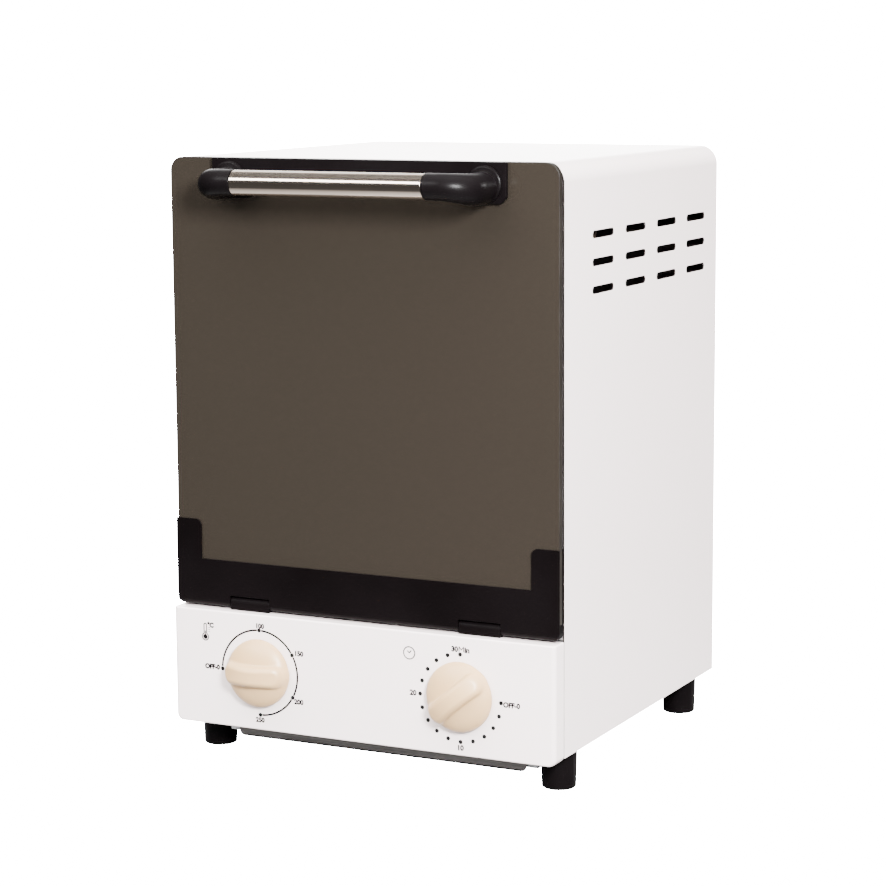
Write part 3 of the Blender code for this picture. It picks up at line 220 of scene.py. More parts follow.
# The folded case: one steel sheet bent over the cabinet, left side, top and
# right side, with three rows of vent slots punched in each side. It is powder
# coated in a glossy warm white outside. Its inside faces and the slot walls are
# painted near black as painted shade, standing for the unlit inside of the housing.
MERGE = 0.000002
SMOOTH_ANGLE = 35
CASE_CORNER = 0.011
CASE_WALL = 0.0010
CASE_EDGE = 0.00025
CORNER_STEPS = 20
SLOT_LENGTH = 0.0289
SLOT_HEIGHT = 0.0040
SLOT_PITCH = 0.046
SLOT_ROW_PITCH = 0.015
SLOT_COLUMNS = 4
SLOT_ROWS = 3
SLOT_FRONT = 0.0371
SLOT_TOP_DROP = 0.0403
SLOT_STEPS = 10
PUNCH = 0.006
ENAMEL_LIGHT = (0.860, 0.765, 0.755)
ENAMEL_SHADE = (0.845, 0.745, 0.735)


SKIN_INPUTS = (("Colour A", "Color", (0.8, 0.8, 0.8, 1.0)),
               ("Colour B", "Color", (0.7, 0.7, 0.7, 1.0)),
               ("Roughness Low", "Float", 0.2), ("Roughness High", "Float", 0.3))
SKIN_OUTPUTS = (("Colour", "Color"), ("Roughness", "Float"), ("Height", "Float"))


def new_skin(name, *scales):
    """Node group with a skin's sockets; scales are name, kind and default."""
    group = bpy.data.node_groups.new(name, "ShaderNodeTree")
    for label, kind, default in SKIN_INPUTS + scales:
        socket = group.interface.new_socket(label, in_out="INPUT",
                                            socket_type="NodeSocket" + kind)
        socket.default_value = default
    for label, kind in SKIN_OUTPUTS:
        group.interface.new_socket(label, in_out="OUTPUT", socket_type="NodeSocket" + kind)
    given = group.nodes.new("NodeGroupInput").outputs
    return group, given, group.nodes.new("NodeGroupOutput")


def blend_skin(group, given, result, mask, height):
    """Lead a mask to the skin's colour and roughness, and a height to its bump."""
    rough = add(group, "MapRange", {"Value": mask, "To Min": given["Roughness Low"],
                                    "To Max": given["Roughness High"]})
    feed(group, result, {"Colour": mix(group, mask, given["Colour A"], given["Colour B"]),
                         "Roughness": rough.outputs["Result"], "Height": height})


def paint_film():
    """Film with slow cloudy changes of colour and gloss, and a fine orange peel."""
    group, given, result = new_skin("paint_film", ("Cloud Scale", "Float", 9.0),
                                    ("Peel Scale", "Float", 700.0))
    place = add(group, "TexCoord").outputs["Object"]
    cloud, peel = (add(group, "TexNoise", {"Vector": place, "Scale": given[label],
                                           "Detail": detail}).outputs["Fac"]
                   for label, detail in (("Cloud Scale", 3.0), ("Peel Scale", 1.5)))
    blend_skin(group, given, result, share_of(group, cloud, 0.32, 0.68), peel)
    return group


def surface(name, skin, colours, roughness, scales, bump, **sockets):
    """Principled material fed by one skin; bump is its strength and depth."""
    material = bpy.data.materials.new(name)
    material.use_nodes = True
    tree = material.node_tree
    coat = tree.nodes.new("ShaderNodeGroup")
    coat.node_tree = skin
    feed(tree, coat, enumerate([(*colour, 1.0) for colour in colours] + [*roughness, *scales]))
    relief = add(tree, "Bump", {"Strength": bump[0], "Distance": bump[1],
                                "Height": coat.outputs["Height"]})
    feed(tree, tree.nodes["Principled BSDF"], {
        "Base Color": coat.outputs["Colour"], "Roughness": coat.outputs["Roughness"],
        "Normal": relief.outputs["Normal"],
        **{label.replace("_", " "): value for label, value in sockets.items()}})
    return material


def skin_faces(rings, points, wrap):
    """Quads between neighbouring rings of equal point count, as an index array."""
    i = np.arange(rings if wrap else rings - 1)[:, None]
    j = np.arange(points)[None, :]
    k = (j + 1) % points
    after = (i + 1) % rings
    return np.stack([i * points + j, i * points + k, after * points + k, after * points + j],
                    axis=-1).reshape(-1, 4)


def loft(rings, wrap=False, caps=(True, True)):
    """Vertices and faces of a skin over closed rings, with flat ends where asked."""
    rings = np.asarray(rings, float)
    count, points = rings.shape[:2]
    faces = skin_faces(count, points, wrap).tolist()
    if caps[0] and not wrap:
        faces.append(list(range(points))[::-1])
    if caps[1] and not wrap:
        faces.append(list(range((count - 1) * points, count * points)))
    return rings.reshape(-1, 3), faces


def prism(outline, axis, places):
    """Solid between copies of a flat outline at places along X, Y or Z (0, 1 or 2)."""
    return loft([np.insert(outline, axis, place, axis=1) for place in places])


def new_piece(name, shapes, material):
    """One mesh object from a list of vertex and face pairs."""
    verts, faces = [], []
    for points, polygons in shapes:
        faces += [[index + len(verts) for index in polygon] for polygon in polygons]
        verts += np.asarray(points).tolist()
    mesh = bpy.data.meshes.new(name)
    mesh.from_pydata(verts, [], faces)
    mesh.materials.append(material)
    return placed(name, mesh)


def worked_out(obj):
    """New mesh of what an object's modifiers or its text make."""
    bpy.context.view_layer.update()
    depsgraph = bpy.context.evaluated_depsgraph_get()
    return bpy.data.meshes.new_from_object(obj.evaluated_get(depsgraph))


def settle(obj):
    """Replace a mesh by what its modifiers make of it."""
    mesh = worked_out(obj)
    obj.modifiers.clear()
    obj.data = mesh
    mesh.name = obj.name
    return obj


def close_up(obj, flats=False):
    """Merge the points that meet and turn the faces outward; flats joins level faces."""
    bm = bmesh.new()
    bm.from_mesh(obj.data)
    bmesh.ops.remove_doubles(bm, verts=bm.verts, dist=MERGE)
    if flats:
        bmesh.ops.dissolve_limit(bm, angle_limit=math.radians(0.5), verts=bm.verts,
                                 edges=bm.edges)
    bmesh.ops.recalc_face_normals(bm, faces=bm.faces)
    bm.to_mesh(obj.data)
    bm.free()
    return obj


def solid(name, shapes, material):
    """Closed piece from a list of vertex and face pairs."""
    return close_up(new_piece(name, shapes, material))


def carve(obj, tool):
    """Cut a closed tool out of a closed piece."""
    close_up(tool)
    cut = obj.modifiers.new("cut", "BOOLEAN")
    cut.object = tool
    cut.solver = "EXACT"
    settle(obj)
    bpy.data.objects.remove(tool, do_unlink=True)
    return obj


def dress(obj, body, nodes=(), edge=0.0, segments=2, angle=SMOOTH_ANGLE):
    """Round the sharp edges, keep flat faces flat, and hang the piece on its body."""
    obj.data.shade_smooth()
    obj.data.set_sharp_from_angle(angle=math.radians(angle))
    if edge:
        rounding = obj.modifiers.new("edge", "BEVEL")
        rounding.width = edge
        rounding.segments = segments
        rounding.limit_method = "ANGLE"
        rounding.angle_limit = math.radians(angle)
    even = obj.modifiers.new("normals", "WEIGHTED_NORMAL")
    even.keep_sharp = True
    settle(obj)
    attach(obj, body)
    if nodes:
        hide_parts(*nodes)
    return obj


def arch(half, low, high, corner, steps):
    """Section of the hood: up, a quarter circle, across, a quarter circle, down."""
    turn = np.linspace(0, np.pi / 2, steps)
    right = np.stack([half - corner + corner * np.cos(turn),
                      high - corner + corner * np.sin(turn)], axis=1)
    left = right[::-1] * (-1, 1)
    return np.vstack([[(half, low)], right, left, [(-half, low)]])


def stadium(length, height, steps):
    """Closed outline of a slot with round ends, about the origin."""
    turn = np.linspace(-np.pi / 2, np.pi / 2, steps)
    radius = height / 2
    right = np.stack([length / 2 - radius + radius * np.cos(turn), radius * np.sin(turn)],
                     axis=1)
    return np.vstack([right, -right])


def under_hood(place):
    """True where a place lies under the outer face of the hood, not on it."""
    x = abs(place.x) - case_high.x
    z = place.z - case_high.z
    if min(x, z) > -CASE_CORNER:
        return math.hypot(x + CASE_CORNER, z + CASE_CORNER) < CASE_CORNER - MERGE * 10
    return max(x, z) < -MERGE * 10


def part_finish(obj, material, where):
    """Give a second material to the faces whose middle and normal pass a test."""
    obj.data.materials.append(material)
    for face in obj.data.polygons:
        face.material_index = int(where(face.center, face.normal))


film = paint_film()
# Near black paint for faces that look into the housing: painted shade for the dark inside seen
# through the slots and gaps.
painted_shade = surface("painted_shade_dark", film, ((0.014, 0.011, 0.011), (0.020, 0.016, 0.016)), (0.6, 0.8),
    (25.0, 900.0), (0.1, 0.0001), Specular_IOR_Level=0.1)
enamel = surface("white_enamel", film, (ENAMEL_LIGHT, ENAMEL_SHADE), (0.16, 0.24), (6.0, 520.0),
    (0.10, 0.0002), Coat_Weight=0.35, Coat_Roughness=0.08)
case_low, case_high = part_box("outer_case")
outer = arch(case_high.x, case_low.z, case_high.z, CASE_CORNER, CORNER_STEPS)
inner = arch(case_high.x - CASE_WALL, case_low.z, case_high.z - CASE_WALL,
             CASE_CORNER - CASE_WALL, CORNER_STEPS)
section = np.vstack([outer, inner[::-1]])
case = solid("case_hood", [prism(section, 1, (case_low.y, case_high.y))], enamel)
slot_outline = stadium(SLOT_LENGTH, SLOT_HEIGHT, SLOT_STEPS)
punches = []
for x in (-case_high.x, case_high.x):
    for column in range(SLOT_COLUMNS):
        for row in range(SLOT_ROWS):
            y = case_low.y + SLOT_FRONT + SLOT_LENGTH / 2 + column * SLOT_PITCH
            z = case_high.z - SLOT_TOP_DROP - row * SLOT_ROW_PITCH
            punches.append(prism(slot_outline + (y, z), 0, (x - PUNCH, x + PUNCH)))
carve(case, new_piece("slot_punch", punches, enamel))
# Faces under the hood's outer face, slot walls too, get the painted shade.
part_finish(case, painted_shade, lambda place, _: under_hood(place))
dress(case, "cabinet", ["outer_case"], CASE_EDGE)


# The control panel: a folded steel box front in the same white coating. Its
# sides are bent back to a soft corner, its top is the ledge under the door, and
# two holes let the control shafts through.
SIDE_BEND = 0.0025
LEDGE_BEND = 0.0009
PANEL_CORNER = 0.0009
PANEL_FOOT_CORNER = 0.0038
PANEL_CORNER_DRAW = 0.9
PANEL_WALL = 0.0012
PANEL_SEAM = 0.0004
BEND_STEPS = 8
SHAFT_HOLE = 0.0033
HOLE_STEPS = 40


def soft_rectangle(x0, x1, z0, z1, radius, steps, foot=None):
    """Closed outline with four quarter circles for corners, the lower two of radius foot."""
    turn = np.linspace(0, np.pi / 2, steps)
    quarter = np.stack([np.cos(turn), np.sin(turn)], axis=1)
    foot = radius if foot is None else foot
    corners = ((x1 - radius, z1 - radius, radius), (x0 + radius, z1 - radius, radius),
               (x0 + foot, z0 + foot, foot), (x1 - foot, z0 + foot, foot))
    outline = []
    for index, (x, z, bend) in enumerate(corners):
        angle = index * np.pi / 2
        spin = np.array([[np.cos(angle), np.sin(angle)], [-np.sin(angle), np.cos(angle)]])
        outline.append(bend * quarter @ spin + (x, z))
    return np.vstack(outline)


def fold(depth, bend):
    """How far a quarter-round fold draws in at a depth behind the front face."""
    share = min(depth / bend, 1.0)
    return bend * (1 - math.sqrt(1 - (1 - share) ** 2))


def circle(radius, steps):
    """Closed round outline about the origin."""
    turn = np.linspace(0, 2 * np.pi, steps, endpoint=False)
    return radius * np.stack([np.cos(turn), np.sin(turn)], axis=1)


def centre(node):
    """Middle of a frame node's box."""
    return [(low + high) / 2 for low, high in zip(*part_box(node))]


def thicken(obj, wall):
    """Make an open skin a sheet of even thickness, inward from its face."""
    skin = obj.modifiers.new("wall", "SOLIDIFY")
    skin.thickness = wall
    skin.offset = -1.0
    return settle(obj)


def drilled(obj, radius, places, start, end):
    """Bore round holes along Y through places in x and z."""
    drills = [prism(circle(radius, HOLE_STEPS) + place, 1, (start, end)) for place in places]
    return carve(obj, new_piece("drill", drills, obj.data.materials[0]))


panel_low, panel_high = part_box("control_panel")
dial_x, _, dial_z = centre("timer_shaft")
depths = [panel_high.y - PANEL_SEAM - panel_low.y]
depths += [SIDE_BEND * (1 - math.sin(a)) for a in np.linspace(0, np.pi / 2, 2 * BEND_STEPS)]
rings = []
for depth in depths:
    across = fold(depth, SIDE_BEND)
    upright = fold(depth, LEDGE_BEND)
    outline = soft_rectangle(panel_low.x + across, panel_high.x - across,
                             panel_low.z + upright, panel_high.z - upright,
                             PANEL_CORNER - PANEL_CORNER_DRAW * upright, BEND_STEPS,
                             PANEL_FOOT_CORNER - upright)
    rings.append(np.insert(outline, 1, panel_low.y + depth, axis=1))
panel = thicken(solid("front_panel", [loft(rings, caps=(False, True))], enamel), PANEL_WALL)
drilled(panel, SHAFT_HOLE, [(-dial_x, dial_z), (dial_x, dial_z)], panel_low.y - PUNCH,
        panel_low.y + PUNCH)
dress(panel, "cabinet", ["control_panel"], CASE_EDGE)


# The printing on the panel: thin black ink with dots, an arc, plain numbers, a
# thermometer and a clock face. The temperature dial runs clockwise from OFF on
# the left to the foot, and the timer counts back to OFF on the right.
INK_DEPTH = 0.00004
MARK_RADIUS = 0.0244
DOT_RADIUS = 0.00122
DOT_STEPS = 20
ARC_WIDTH = 0.00110
ARC_STEPS = 24
ARC_GAP = math.radians(3.2)
TEMPERATURE_MARKS_Z = 0.05255
TIMER_MARKS_Z = 0.05155
TEMPERATURE_ANGLES = (180, 90, 30, -30, -90)
TIMER_DOTS = 16
TIMER_STEP = 18
INK = (0.0030, 0.0026, 0.0026)
INK_WORN = (0.0060, 0.0052, 0.0052)
INK_GREY = (0.014, 0.012, 0.012)
TEMPERATURE_WORDS = (
    # text, x, z, height
    ("100", -0.0622, 0.0795, 0.0026), ("150", -0.0372, 0.0661, 0.0027),
    ("200", -0.0379, 0.0383, 0.0027), ("250", -0.0632, 0.0252, 0.0026))
TEMPERATURE_OFF = ("OFF-0", -0.0941, 0.0530, 0.0026)
TIMER_WORDS = (
    ("OFF-0", 0.0937, 0.0509, 0.0027), ("10", 0.0632, 0.0239, 0.0028),
    ("20", 0.0342, 0.0517, 0.0028), ("30", 0.0598, 0.0787, 0.0028),
    ("in", 0.0672, 0.0786, 0.0030))
# the M of the timer's unit, drawn as four strokes
TIMER_M = ((0.0624, 0.0774), (0.0624, 0.0803), (0.0638, 0.0784), (0.0652, 0.0803),
           (0.0652, 0.0774))
THERMOMETER_X = -0.0984
THERMOMETER_BULB_Z = 0.0700
THERMOMETER_TOP_Z = 0.0777
TICK_REACH = 0.0010
TICK_PITCH = 0.0012
THERMOMETER_RADIUS = 0.00085
CAP_STEPS = 16
COLUMN_RISE = 0.0016
BULB_RADIUS = 0.00205
BULB_STEPS = 40
BULB_DOT = 0.0014
DEGREE_SIGN = ("°C", -0.0949, 0.0771, 0.0026)
CLOCK_PLACE = (0.0320, 0.0737)
CLOCK_RADIUS = 0.0034
CLOCK_STEPS = 48
CLOCK_HANDS = ((-0.0011, 0.0012), (0.0013, 0.0014))
ICON_WIDTH = 0.00065
CAPITAL_SHARE = 0.70
WORD_WEIGHT = 0.00022
BOLD_WEIGHT = 0.00026
LETTER_WIDTH = 0.00055
panel_y = panel_low.y


def ink_film(outlines):
    """Thin solid prints on the panel from closed outlines in x and z."""
    return [prism(outline, 1, (panel_y, panel_y - INK_DEPTH)) for outline in outlines]


def dial_dots(x, z, angles):
    """Round dots on a dial's circle, angles in radians from +X."""
    return ink_film([circle(DOT_RADIUS, DOT_STEPS) + (x + MARK_RADIUS * math.cos(angle),
                                                      z + MARK_RADIUS * math.sin(angle))
                     for angle in angles])


def heading(path, closed=False):
    """Unit direction of a path at each of its points."""
    if closed:
        ahead = np.roll(path, -1, axis=0) - np.roll(path, 1, axis=0)
    else:
        ahead = np.gradient(path, axis=0)
    return ahead / np.linalg.norm(ahead, axis=1)[:, None]


def ink_line(path, width, closed=False):
    """Thin stroke along a path in x and z: a flat bar carried along the path."""
    path = np.asarray(path, float)
    side = heading(path, closed)[:, ::-1] * (-1, 1) * width / 2
    edges = ((1, 0.0), (1, INK_DEPTH), (-1, INK_DEPTH), (-1, 0.0))
    rings = np.stack([np.insert(path + sign * side, 1, panel_y - rise, axis=1)
                      for sign, rise in edges], axis=1)
    return loft(rings, wrap=closed)


def ring_path(x, z, radius, start, end, steps):
    """Points on part of a circle, angles in radians from +X."""
    turn = np.linspace(start, end, steps)
    return np.stack([x + radius * np.cos(turn), z + radius * np.sin(turn)], axis=1)


def ink_words(words, weight):
    """Plain numbers and short words in ink, each centred on its place."""
    shapes = []
    for text, x, z, height in words:
        curve = bpy.data.curves.new("word", "FONT")
        curve.body = text
        curve.size = height / CAPITAL_SHARE
        curve.align_x = "CENTER"
        curve.align_y = "CENTER"
        curve.offset = weight
        curve.extrude = INK_DEPTH / 2
        curve.resolution_u = 4
        letter = placed("word", curve)
        mesh = worked_out(letter)
        flat = np.array([v.co for v in mesh.vertices], float).reshape(-1, 3)
        flat -= (flat.min(axis=0) + flat.max(axis=0)) / 2
        points = np.stack([flat[:, 0] + x, panel_y - INK_DEPTH / 2 - flat[:, 2],
                           flat[:, 1] + z], axis=1)
        shapes.append((points, [list(p.vertices) for p in mesh.polygons]))
        bpy.data.objects.remove(letter, do_unlink=True)
        bpy.data.meshes.remove(mesh)
    return shapes


def ink_piece(name, shapes, material):
    """Print that lies on the control panel and stays with the cabinet."""
    piece = solid(name, shapes, material)
    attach(piece, "cabinet")
    return piece


ink = surface("black_ink", film, (INK, INK_WORN), (0.35, 0.5), (900.0, 3000.0), (0.05, 0.00002),
    Specular_IOR_Level=0.15)
faint_ink = surface("grey_ink", film, (INK_GREY, (0.022, 0.020, 0.020)), (0.4, 0.5),
    (900.0, 3000.0), (0.05, 0.00002))
angles = np.radians(TEMPERATURE_ANGLES)
marks = dial_dots(-dial_x, TEMPERATURE_MARKS_Z, angles)
marks += [ink_line(ring_path(-dial_x, TEMPERATURE_MARKS_Z, MARK_RADIUS, start - ARC_GAP,
                             end + ARC_GAP, ARC_STEPS), ARC_WIDTH)
          for start, end in zip(angles, angles[1:])]
marks += ink_words([TEMPERATURE_OFF], BOLD_WEIGHT)
ink_piece("temperature_marks", marks + ink_words(TEMPERATURE_WORDS, WORD_WEIGHT), ink)
marks = dial_dots(dial_x, TIMER_MARKS_Z, -math.radians(TIMER_STEP) * np.arange(TIMER_DOTS))
marks += [ink_line(stroke, LETTER_WIDTH) for stroke in zip(TIMER_M, TIMER_M[1:])]
ink_piece("timer_marks", marks + ink_words(TIMER_WORDS, WORD_WEIGHT), ink)
lean = math.asin(THERMOMETER_RADIUS / BULB_RADIUS)
neck = THERMOMETER_BULB_Z + BULB_RADIUS * math.cos(lean)
bulb = ring_path(THERMOMETER_X, THERMOMETER_BULB_Z, BULB_RADIUS, math.pi / 2 + lean,
                 math.pi * 2.5 - lean, BULB_STEPS)
cap = ring_path(THERMOMETER_X, THERMOMETER_TOP_Z - THERMOMETER_RADIUS, THERMOMETER_RADIUS,
                0, math.pi, CAP_STEPS)
icon = [ink_line(np.vstack([bulb, cap]), ICON_WIDTH, closed=True)]
icon += ink_film([circle(BULB_DOT, DOT_STEPS) + (THERMOMETER_X, THERMOMETER_BULB_Z)])
icon.append(ink_line([(THERMOMETER_X, THERMOMETER_BULB_Z), (THERMOMETER_X, neck + COLUMN_RISE)],
                     ICON_WIDTH))
tick_x = THERMOMETER_X + BULB_RADIUS
for tick_z in (neck + step * TICK_PITCH for step in (1, 2, 3)):
    icon.append(ink_line([(tick_x, tick_z), (tick_x + TICK_REACH, tick_z)], ICON_WIDTH / 2))
ink_piece("thermometer_icon", icon + ink_words([DEGREE_SIGN], BOLD_WEIGHT), ink)
face = ink_line(ring_path(*CLOCK_PLACE, CLOCK_RADIUS, 0,
                          2 * math.pi * (CLOCK_STEPS - 1) / CLOCK_STEPS, CLOCK_STEPS),
                ICON_WIDTH, closed=True)
hands = [ink_line([CLOCK_PLACE, (CLOCK_PLACE[0] + dx, CLOCK_PLACE[1] + dz)], ICON_WIDTH)
         for dx, dz in CLOCK_HANDS]
ink_piece("clock_icon", [face] + hands, faint_ink)


# The feet: four moulded black plastic feet, slightly tapered, with a soft lower
# edge and a round recess underneath that holds the fixing screw.
FOOT_STEPS = 56
FOOT_EDGE = 0.0012
FOOT_RECESS = 0.0040
FOOT_RECESS_DEPTH = 0.0118
FOOT_TAPER = 0.0005
TOP_ROUND = 0.0003
RECESS_ROUND = 0.0004
SCREW_RADIUS = 0.0034
FOOT_SCREW_HEIGHT = 0.0018
SCREW_STEPS = 40
HEAD_RINGS = 16
# shares of a screw head's radius and height
CROSS_HALF = 0.14
CROSS_REACH = 0.62
CROSS_SLOPE = 0.06
CROSS_DEPTH = 0.55
HEAD_DOME = 0.75
PLASTIC_BLACK = (0.0022, 0.0016, 0.0018)
PLASTIC_GREY = (0.0034, 0.0026, 0.0029)


def turned(profile, place, axis, steps, hollow=False):
    """Turned solid round an axis: pairs of radius and length, a closed loop if hollow."""
    radial, length = np.asarray(profile, float).T[:, :, None]
    a, b = radial * circle(1, steps).T[:, None]
    along = np.repeat(length, steps, axis=1)
    order = {"x": (along, a, b), "y": (a, along, b), "z": (a, b, along)}[axis]
    return loft(np.stack(order, axis=-1) + np.asarray(place), wrap=hollow)


def quarter(centre, radius, start, end, steps=8):
    """Round stretch of a profile, angles in degrees."""
    turn = np.radians(np.linspace(start, end, steps))
    return [(centre[0] + radius * math.cos(a), centre[1] + radius * math.sin(a)) for a in turn]


def screw_head(place, outward, radius, height):
    """Pan head with a cross recess: a domed height field over a disc, and its rim."""
    r = np.linspace(0, 1, HEAD_RINGS)[:, None]
    u, v = r * circle(1, SCREW_STEPS).T[:, None]
    arm = np.minimum(np.maximum(np.abs(u) - CROSS_HALF, np.abs(v) - CROSS_REACH),
                     np.maximum(np.abs(v) - CROSS_HALF, np.abs(u) - CROSS_REACH))
    recess = CROSS_DEPTH * np.clip(-arm / CROSS_SLOPE, 0, 1)
    rise = height * (np.sqrt(np.clip(1 - HEAD_DOME * r ** 2, 0, 1)) - recess)
    outward = Vector(outward)
    side = outward.orthogonal().normalized()
    basis = np.array([side, outward.cross(side), outward])
    top = np.stack([u * radius, v * radius, rise], axis=-1)
    return loft(np.vstack([top, top[-1:] * (1, 1, 0)]) @ basis + np.asarray(place))


plastic = surface("black_plastic", film, (PLASTIC_BLACK, PLASTIC_GREY), (0.30, 0.38),
    (40.0, 2600.0), (0.16, 0.00008), Specular_IOR_Level=0.03)
zinc_screw = surface("zinc_screw", film, ((0.58, 0.56, 0.52), (0.42, 0.40, 0.37)), (0.22, 0.4),
    (600.0, 2400.0), (0.08, 0.00003), Metallic=1.0)
for row in ("front", "rear"):
    for side in ("left", "right"):
        node = f"foot_{row}_{side}"
        low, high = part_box(node)
        x, y, _ = centre(node)
        top = (high.x - low.x) / 2
        profile = [(0, high.z)]
        profile += quarter((top - TOP_ROUND, high.z - TOP_ROUND), TOP_ROUND, 90, 0, 4)
        profile += quarter((top - FOOT_TAPER - FOOT_EDGE, FOOT_EDGE), FOOT_EDGE, 0, -90)
        profile += quarter((FOOT_RECESS + RECESS_ROUND, RECESS_ROUND), RECESS_ROUND, 270, 180, 4)
        profile += [(FOOT_RECESS, FOOT_RECESS_DEPTH), (0, FOOT_RECESS_DEPTH)]
        foot = solid(node + "_moulded", [turned(profile, (x, y, 0.0), "z", FOOT_STEPS)], plastic)
        dress(foot, "cabinet", [node])
        head = screw_head((x, y, FOOT_RECESS_DEPTH), (0, 0, -1), SCREW_RADIUS, FOOT_SCREW_HEIGHT)
        dress(solid(node + "_screw", [head], zinc_screw), "cabinet")


# The door glass: a 4 mm toughened pane, tinted a dark brown, with two round top
# corners. Its edges are ground matt, which leaves them darker than the faces.
GLASS_CORNER = 0.0078
GLASS_ARRIS = 0.0004
GLASS_HOLE = 0.0019
GLASS_ANGLE = 30
FACING = 0.95
GLASS_DARK = (0.0168, 0.0136, 0.0105)
GLASS_TONE = (0.0176, 0.0142, 0.0110)
EDGE_DARK = (0.0110, 0.0094, 0.0080)
EDGE_LIGHT = (0.0160, 0.0138, 0.0118)
tint = surface("tinted_glass", film, (GLASS_DARK, GLASS_TONE), (0.015, 0.03), (4.0, 60.0),
    (0.02, 0.00005), Transmission_Weight=0.08, IOR=1.5)
ground_edge = surface("ground_glass_edge", film, (EDGE_DARK, EDGE_LIGHT), (0.28, 0.4),
    (60.0, 2500.0), (0.2, 0.0001), Specular_IOR_Level=0.2)
boss_x, _, bar_z = centre("handle_screw_right")
low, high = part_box("door_glass")
rings = [np.insert(arch(high.x - inset, low.z + inset, high.z - inset, GLASS_CORNER - inset,
                        CORNER_STEPS), 1, y, axis=1)
         for inset, y in ((GLASS_ARRIS, low.y), (0.0, low.y + GLASS_ARRIS),
                          (0.0, high.y - GLASS_ARRIS), (GLASS_ARRIS, high.y))]
glass = solid("glass_pane", [loft(rings)], tint)
drilled(glass, GLASS_HOLE, [(-boss_x, bar_z), (boss_x, bar_z)], low.y - PUNCH, high.y + PUNCH)
part_finish(glass, ground_edge, lambda _, normal: abs(normal.y) <= FACING)
dress(glass, "door", ["door_glass"], angle=GLASS_ANGLE)


# The door rail and the knuckles: folded and rolled steel in black satin paint.
# The rail holds the pane in a channel and turns on two pins, and the knuckles
# stand on the ledge in its two notches.
RAIL_EDGE = 0.00035
PIN_EDGE = 0.0002
SATIN_DARK = (0.0017, 0.0012, 0.0013)
SATIN_LIGHT = (0.0025, 0.0018, 0.0020)
STEEL_LIGHT = (0.68, 0.64, 0.60)
STEEL_DARK = (0.50, 0.46, 0.42)


def copy_of(node, name, material):
    """Welded copy of a frame node, with its level triangles joined into faces."""
    mesh = frame["nodes"][node].data.copy()
    mesh.materials.clear()
    mesh.materials.append(material)
    for polygon in mesh.polygons:
        polygon.material_index = 0
    return close_up(placed(name, mesh), flats=True)


def drawn_grain():
    """Metal drawn or brushed one way: noise stretched by a vector of scales."""
    group, given, result = new_skin("drawn_grain", ("Stretch", "Vector", (20.0, 900.0, 900.0)))
    place = add(group, "TexCoord").outputs["Object"]
    scaled = add(group, "VectorMath", {0: place, 1: given["Stretch"]}, operation="MULTIPLY")
    grain = add(group, "TexNoise", {"Vector": scaled.outputs["Vector"], "Scale": 1.0,
                                    "Detail": 5.0}).outputs["Fac"]
    blend_skin(group, given, result, share_of(group, grain, 0.3, 0.7), grain)
    return group


def rod(start, end, radius, place, axis, steps):
    """Round bar with flat ends along an axis."""
    return turned([(0, start), (radius, start), (radius, end), (0, end)], place, axis, steps)


def level_rod(node, name, material, steps, edge):
    """Round bar along X in the place of a frame node of the cabinet."""
    low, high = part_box(node)
    bar = rod(low.x, high.x, (high.z - low.z) / 2, (0, *centre(node)[1:]), "x", steps)
    dress(solid(node + name, [bar], material), "cabinet", [node], edge)


satin = surface("black_satin_paint", film, (SATIN_DARK, SATIN_LIGHT), (0.32, 0.40),
    (18.0, 1300.0), (0.14, 0.0001), Specular_IOR_Level=0.03)
grain = drawn_grain()
pin_steel = surface("drawn_steel", grain, (STEEL_LIGHT, STEEL_DARK), (0.2, 0.34),
    ((30.0, 1500.0, 1500.0),), (0.05, 0.00003), Metallic=1.0)
dress(copy_of("door_rail", "rail_channel", satin), "door", ["door_rail"],
      RAIL_EDGE)
for side in ("left", "right"):
    node = "hinge_knuckle_" + side
    dress(copy_of(node, node + "_rolled", satin), "cabinet", [node], RAIL_EDGE)
    level_rod("hinge_pin_" + side, "_drawn", pin_steel, SCREW_STEPS, PIN_EDGE)


# The handle: a black moulded plate with two lobes, two black moulded ends that
# flare from the tube to a boss on the plate, a brushed steel tube between them,
# and two screws that hold it all from the inside of the door.
PLATE_EDGE = 0.0006
BAR_WALL = 0.0008
BAR_EDGE = 0.0002
BAR_CLEARANCE = 0.0003
HANDLE_BEND = 0.014
HANDLE_SAG = 0.0019
BOSS_TRIM = 0.0008
NECK_OVER_BAR = 0.0003
SHOULDER = 0.00001
SHOULDER_ROUND = 0.00025
SWELL_END = 0.70
COLLAR_STEP = 0.0015
COLLAR_LENGTH = 0.0030
COLLAR_STEPS = (
    # way into the collar, share of the sag, step in from the boss
    (0.0002, 0.5, 0.0019), (0.0004, 0.0, 0.0012), (0.0005, 0.0, 0.0005), (0.0009, 0.0, 0.0))
BOSS_ROUND = 0.0002
SPIGOT = 0.010
END_SIDES = 56
TUBE_STEPS = 96
MOULDED_ANGLE = 50
SCREW_SEAT = 0.0003
SHANK_OVERLAP = 0.0002
SHANK_RADIUS = 0.0016
HANDLE_SCREW_RADIUS = 0.0040


def carried(path, radii, sides, closed=False):
    """Round section of changing radius carried along a level path."""
    upward = np.array([0.0, 0.0, 1.0])
    side = np.cross(heading(path, closed), upward)
    side /= np.linalg.norm(side, axis=1)[:, None]
    across, over = circle(1, sides).T[:, :, None]
    rings = path[:, None, :] + radii[:, None, None] * (across * side[:, None, :] + over * upward)
    return loft(rings, wrap=closed)


def ease(share):
    """Smooth step from 0 to 1."""
    share = np.clip(share, 0, 1)
    return share * share * (3 - 2 * share)


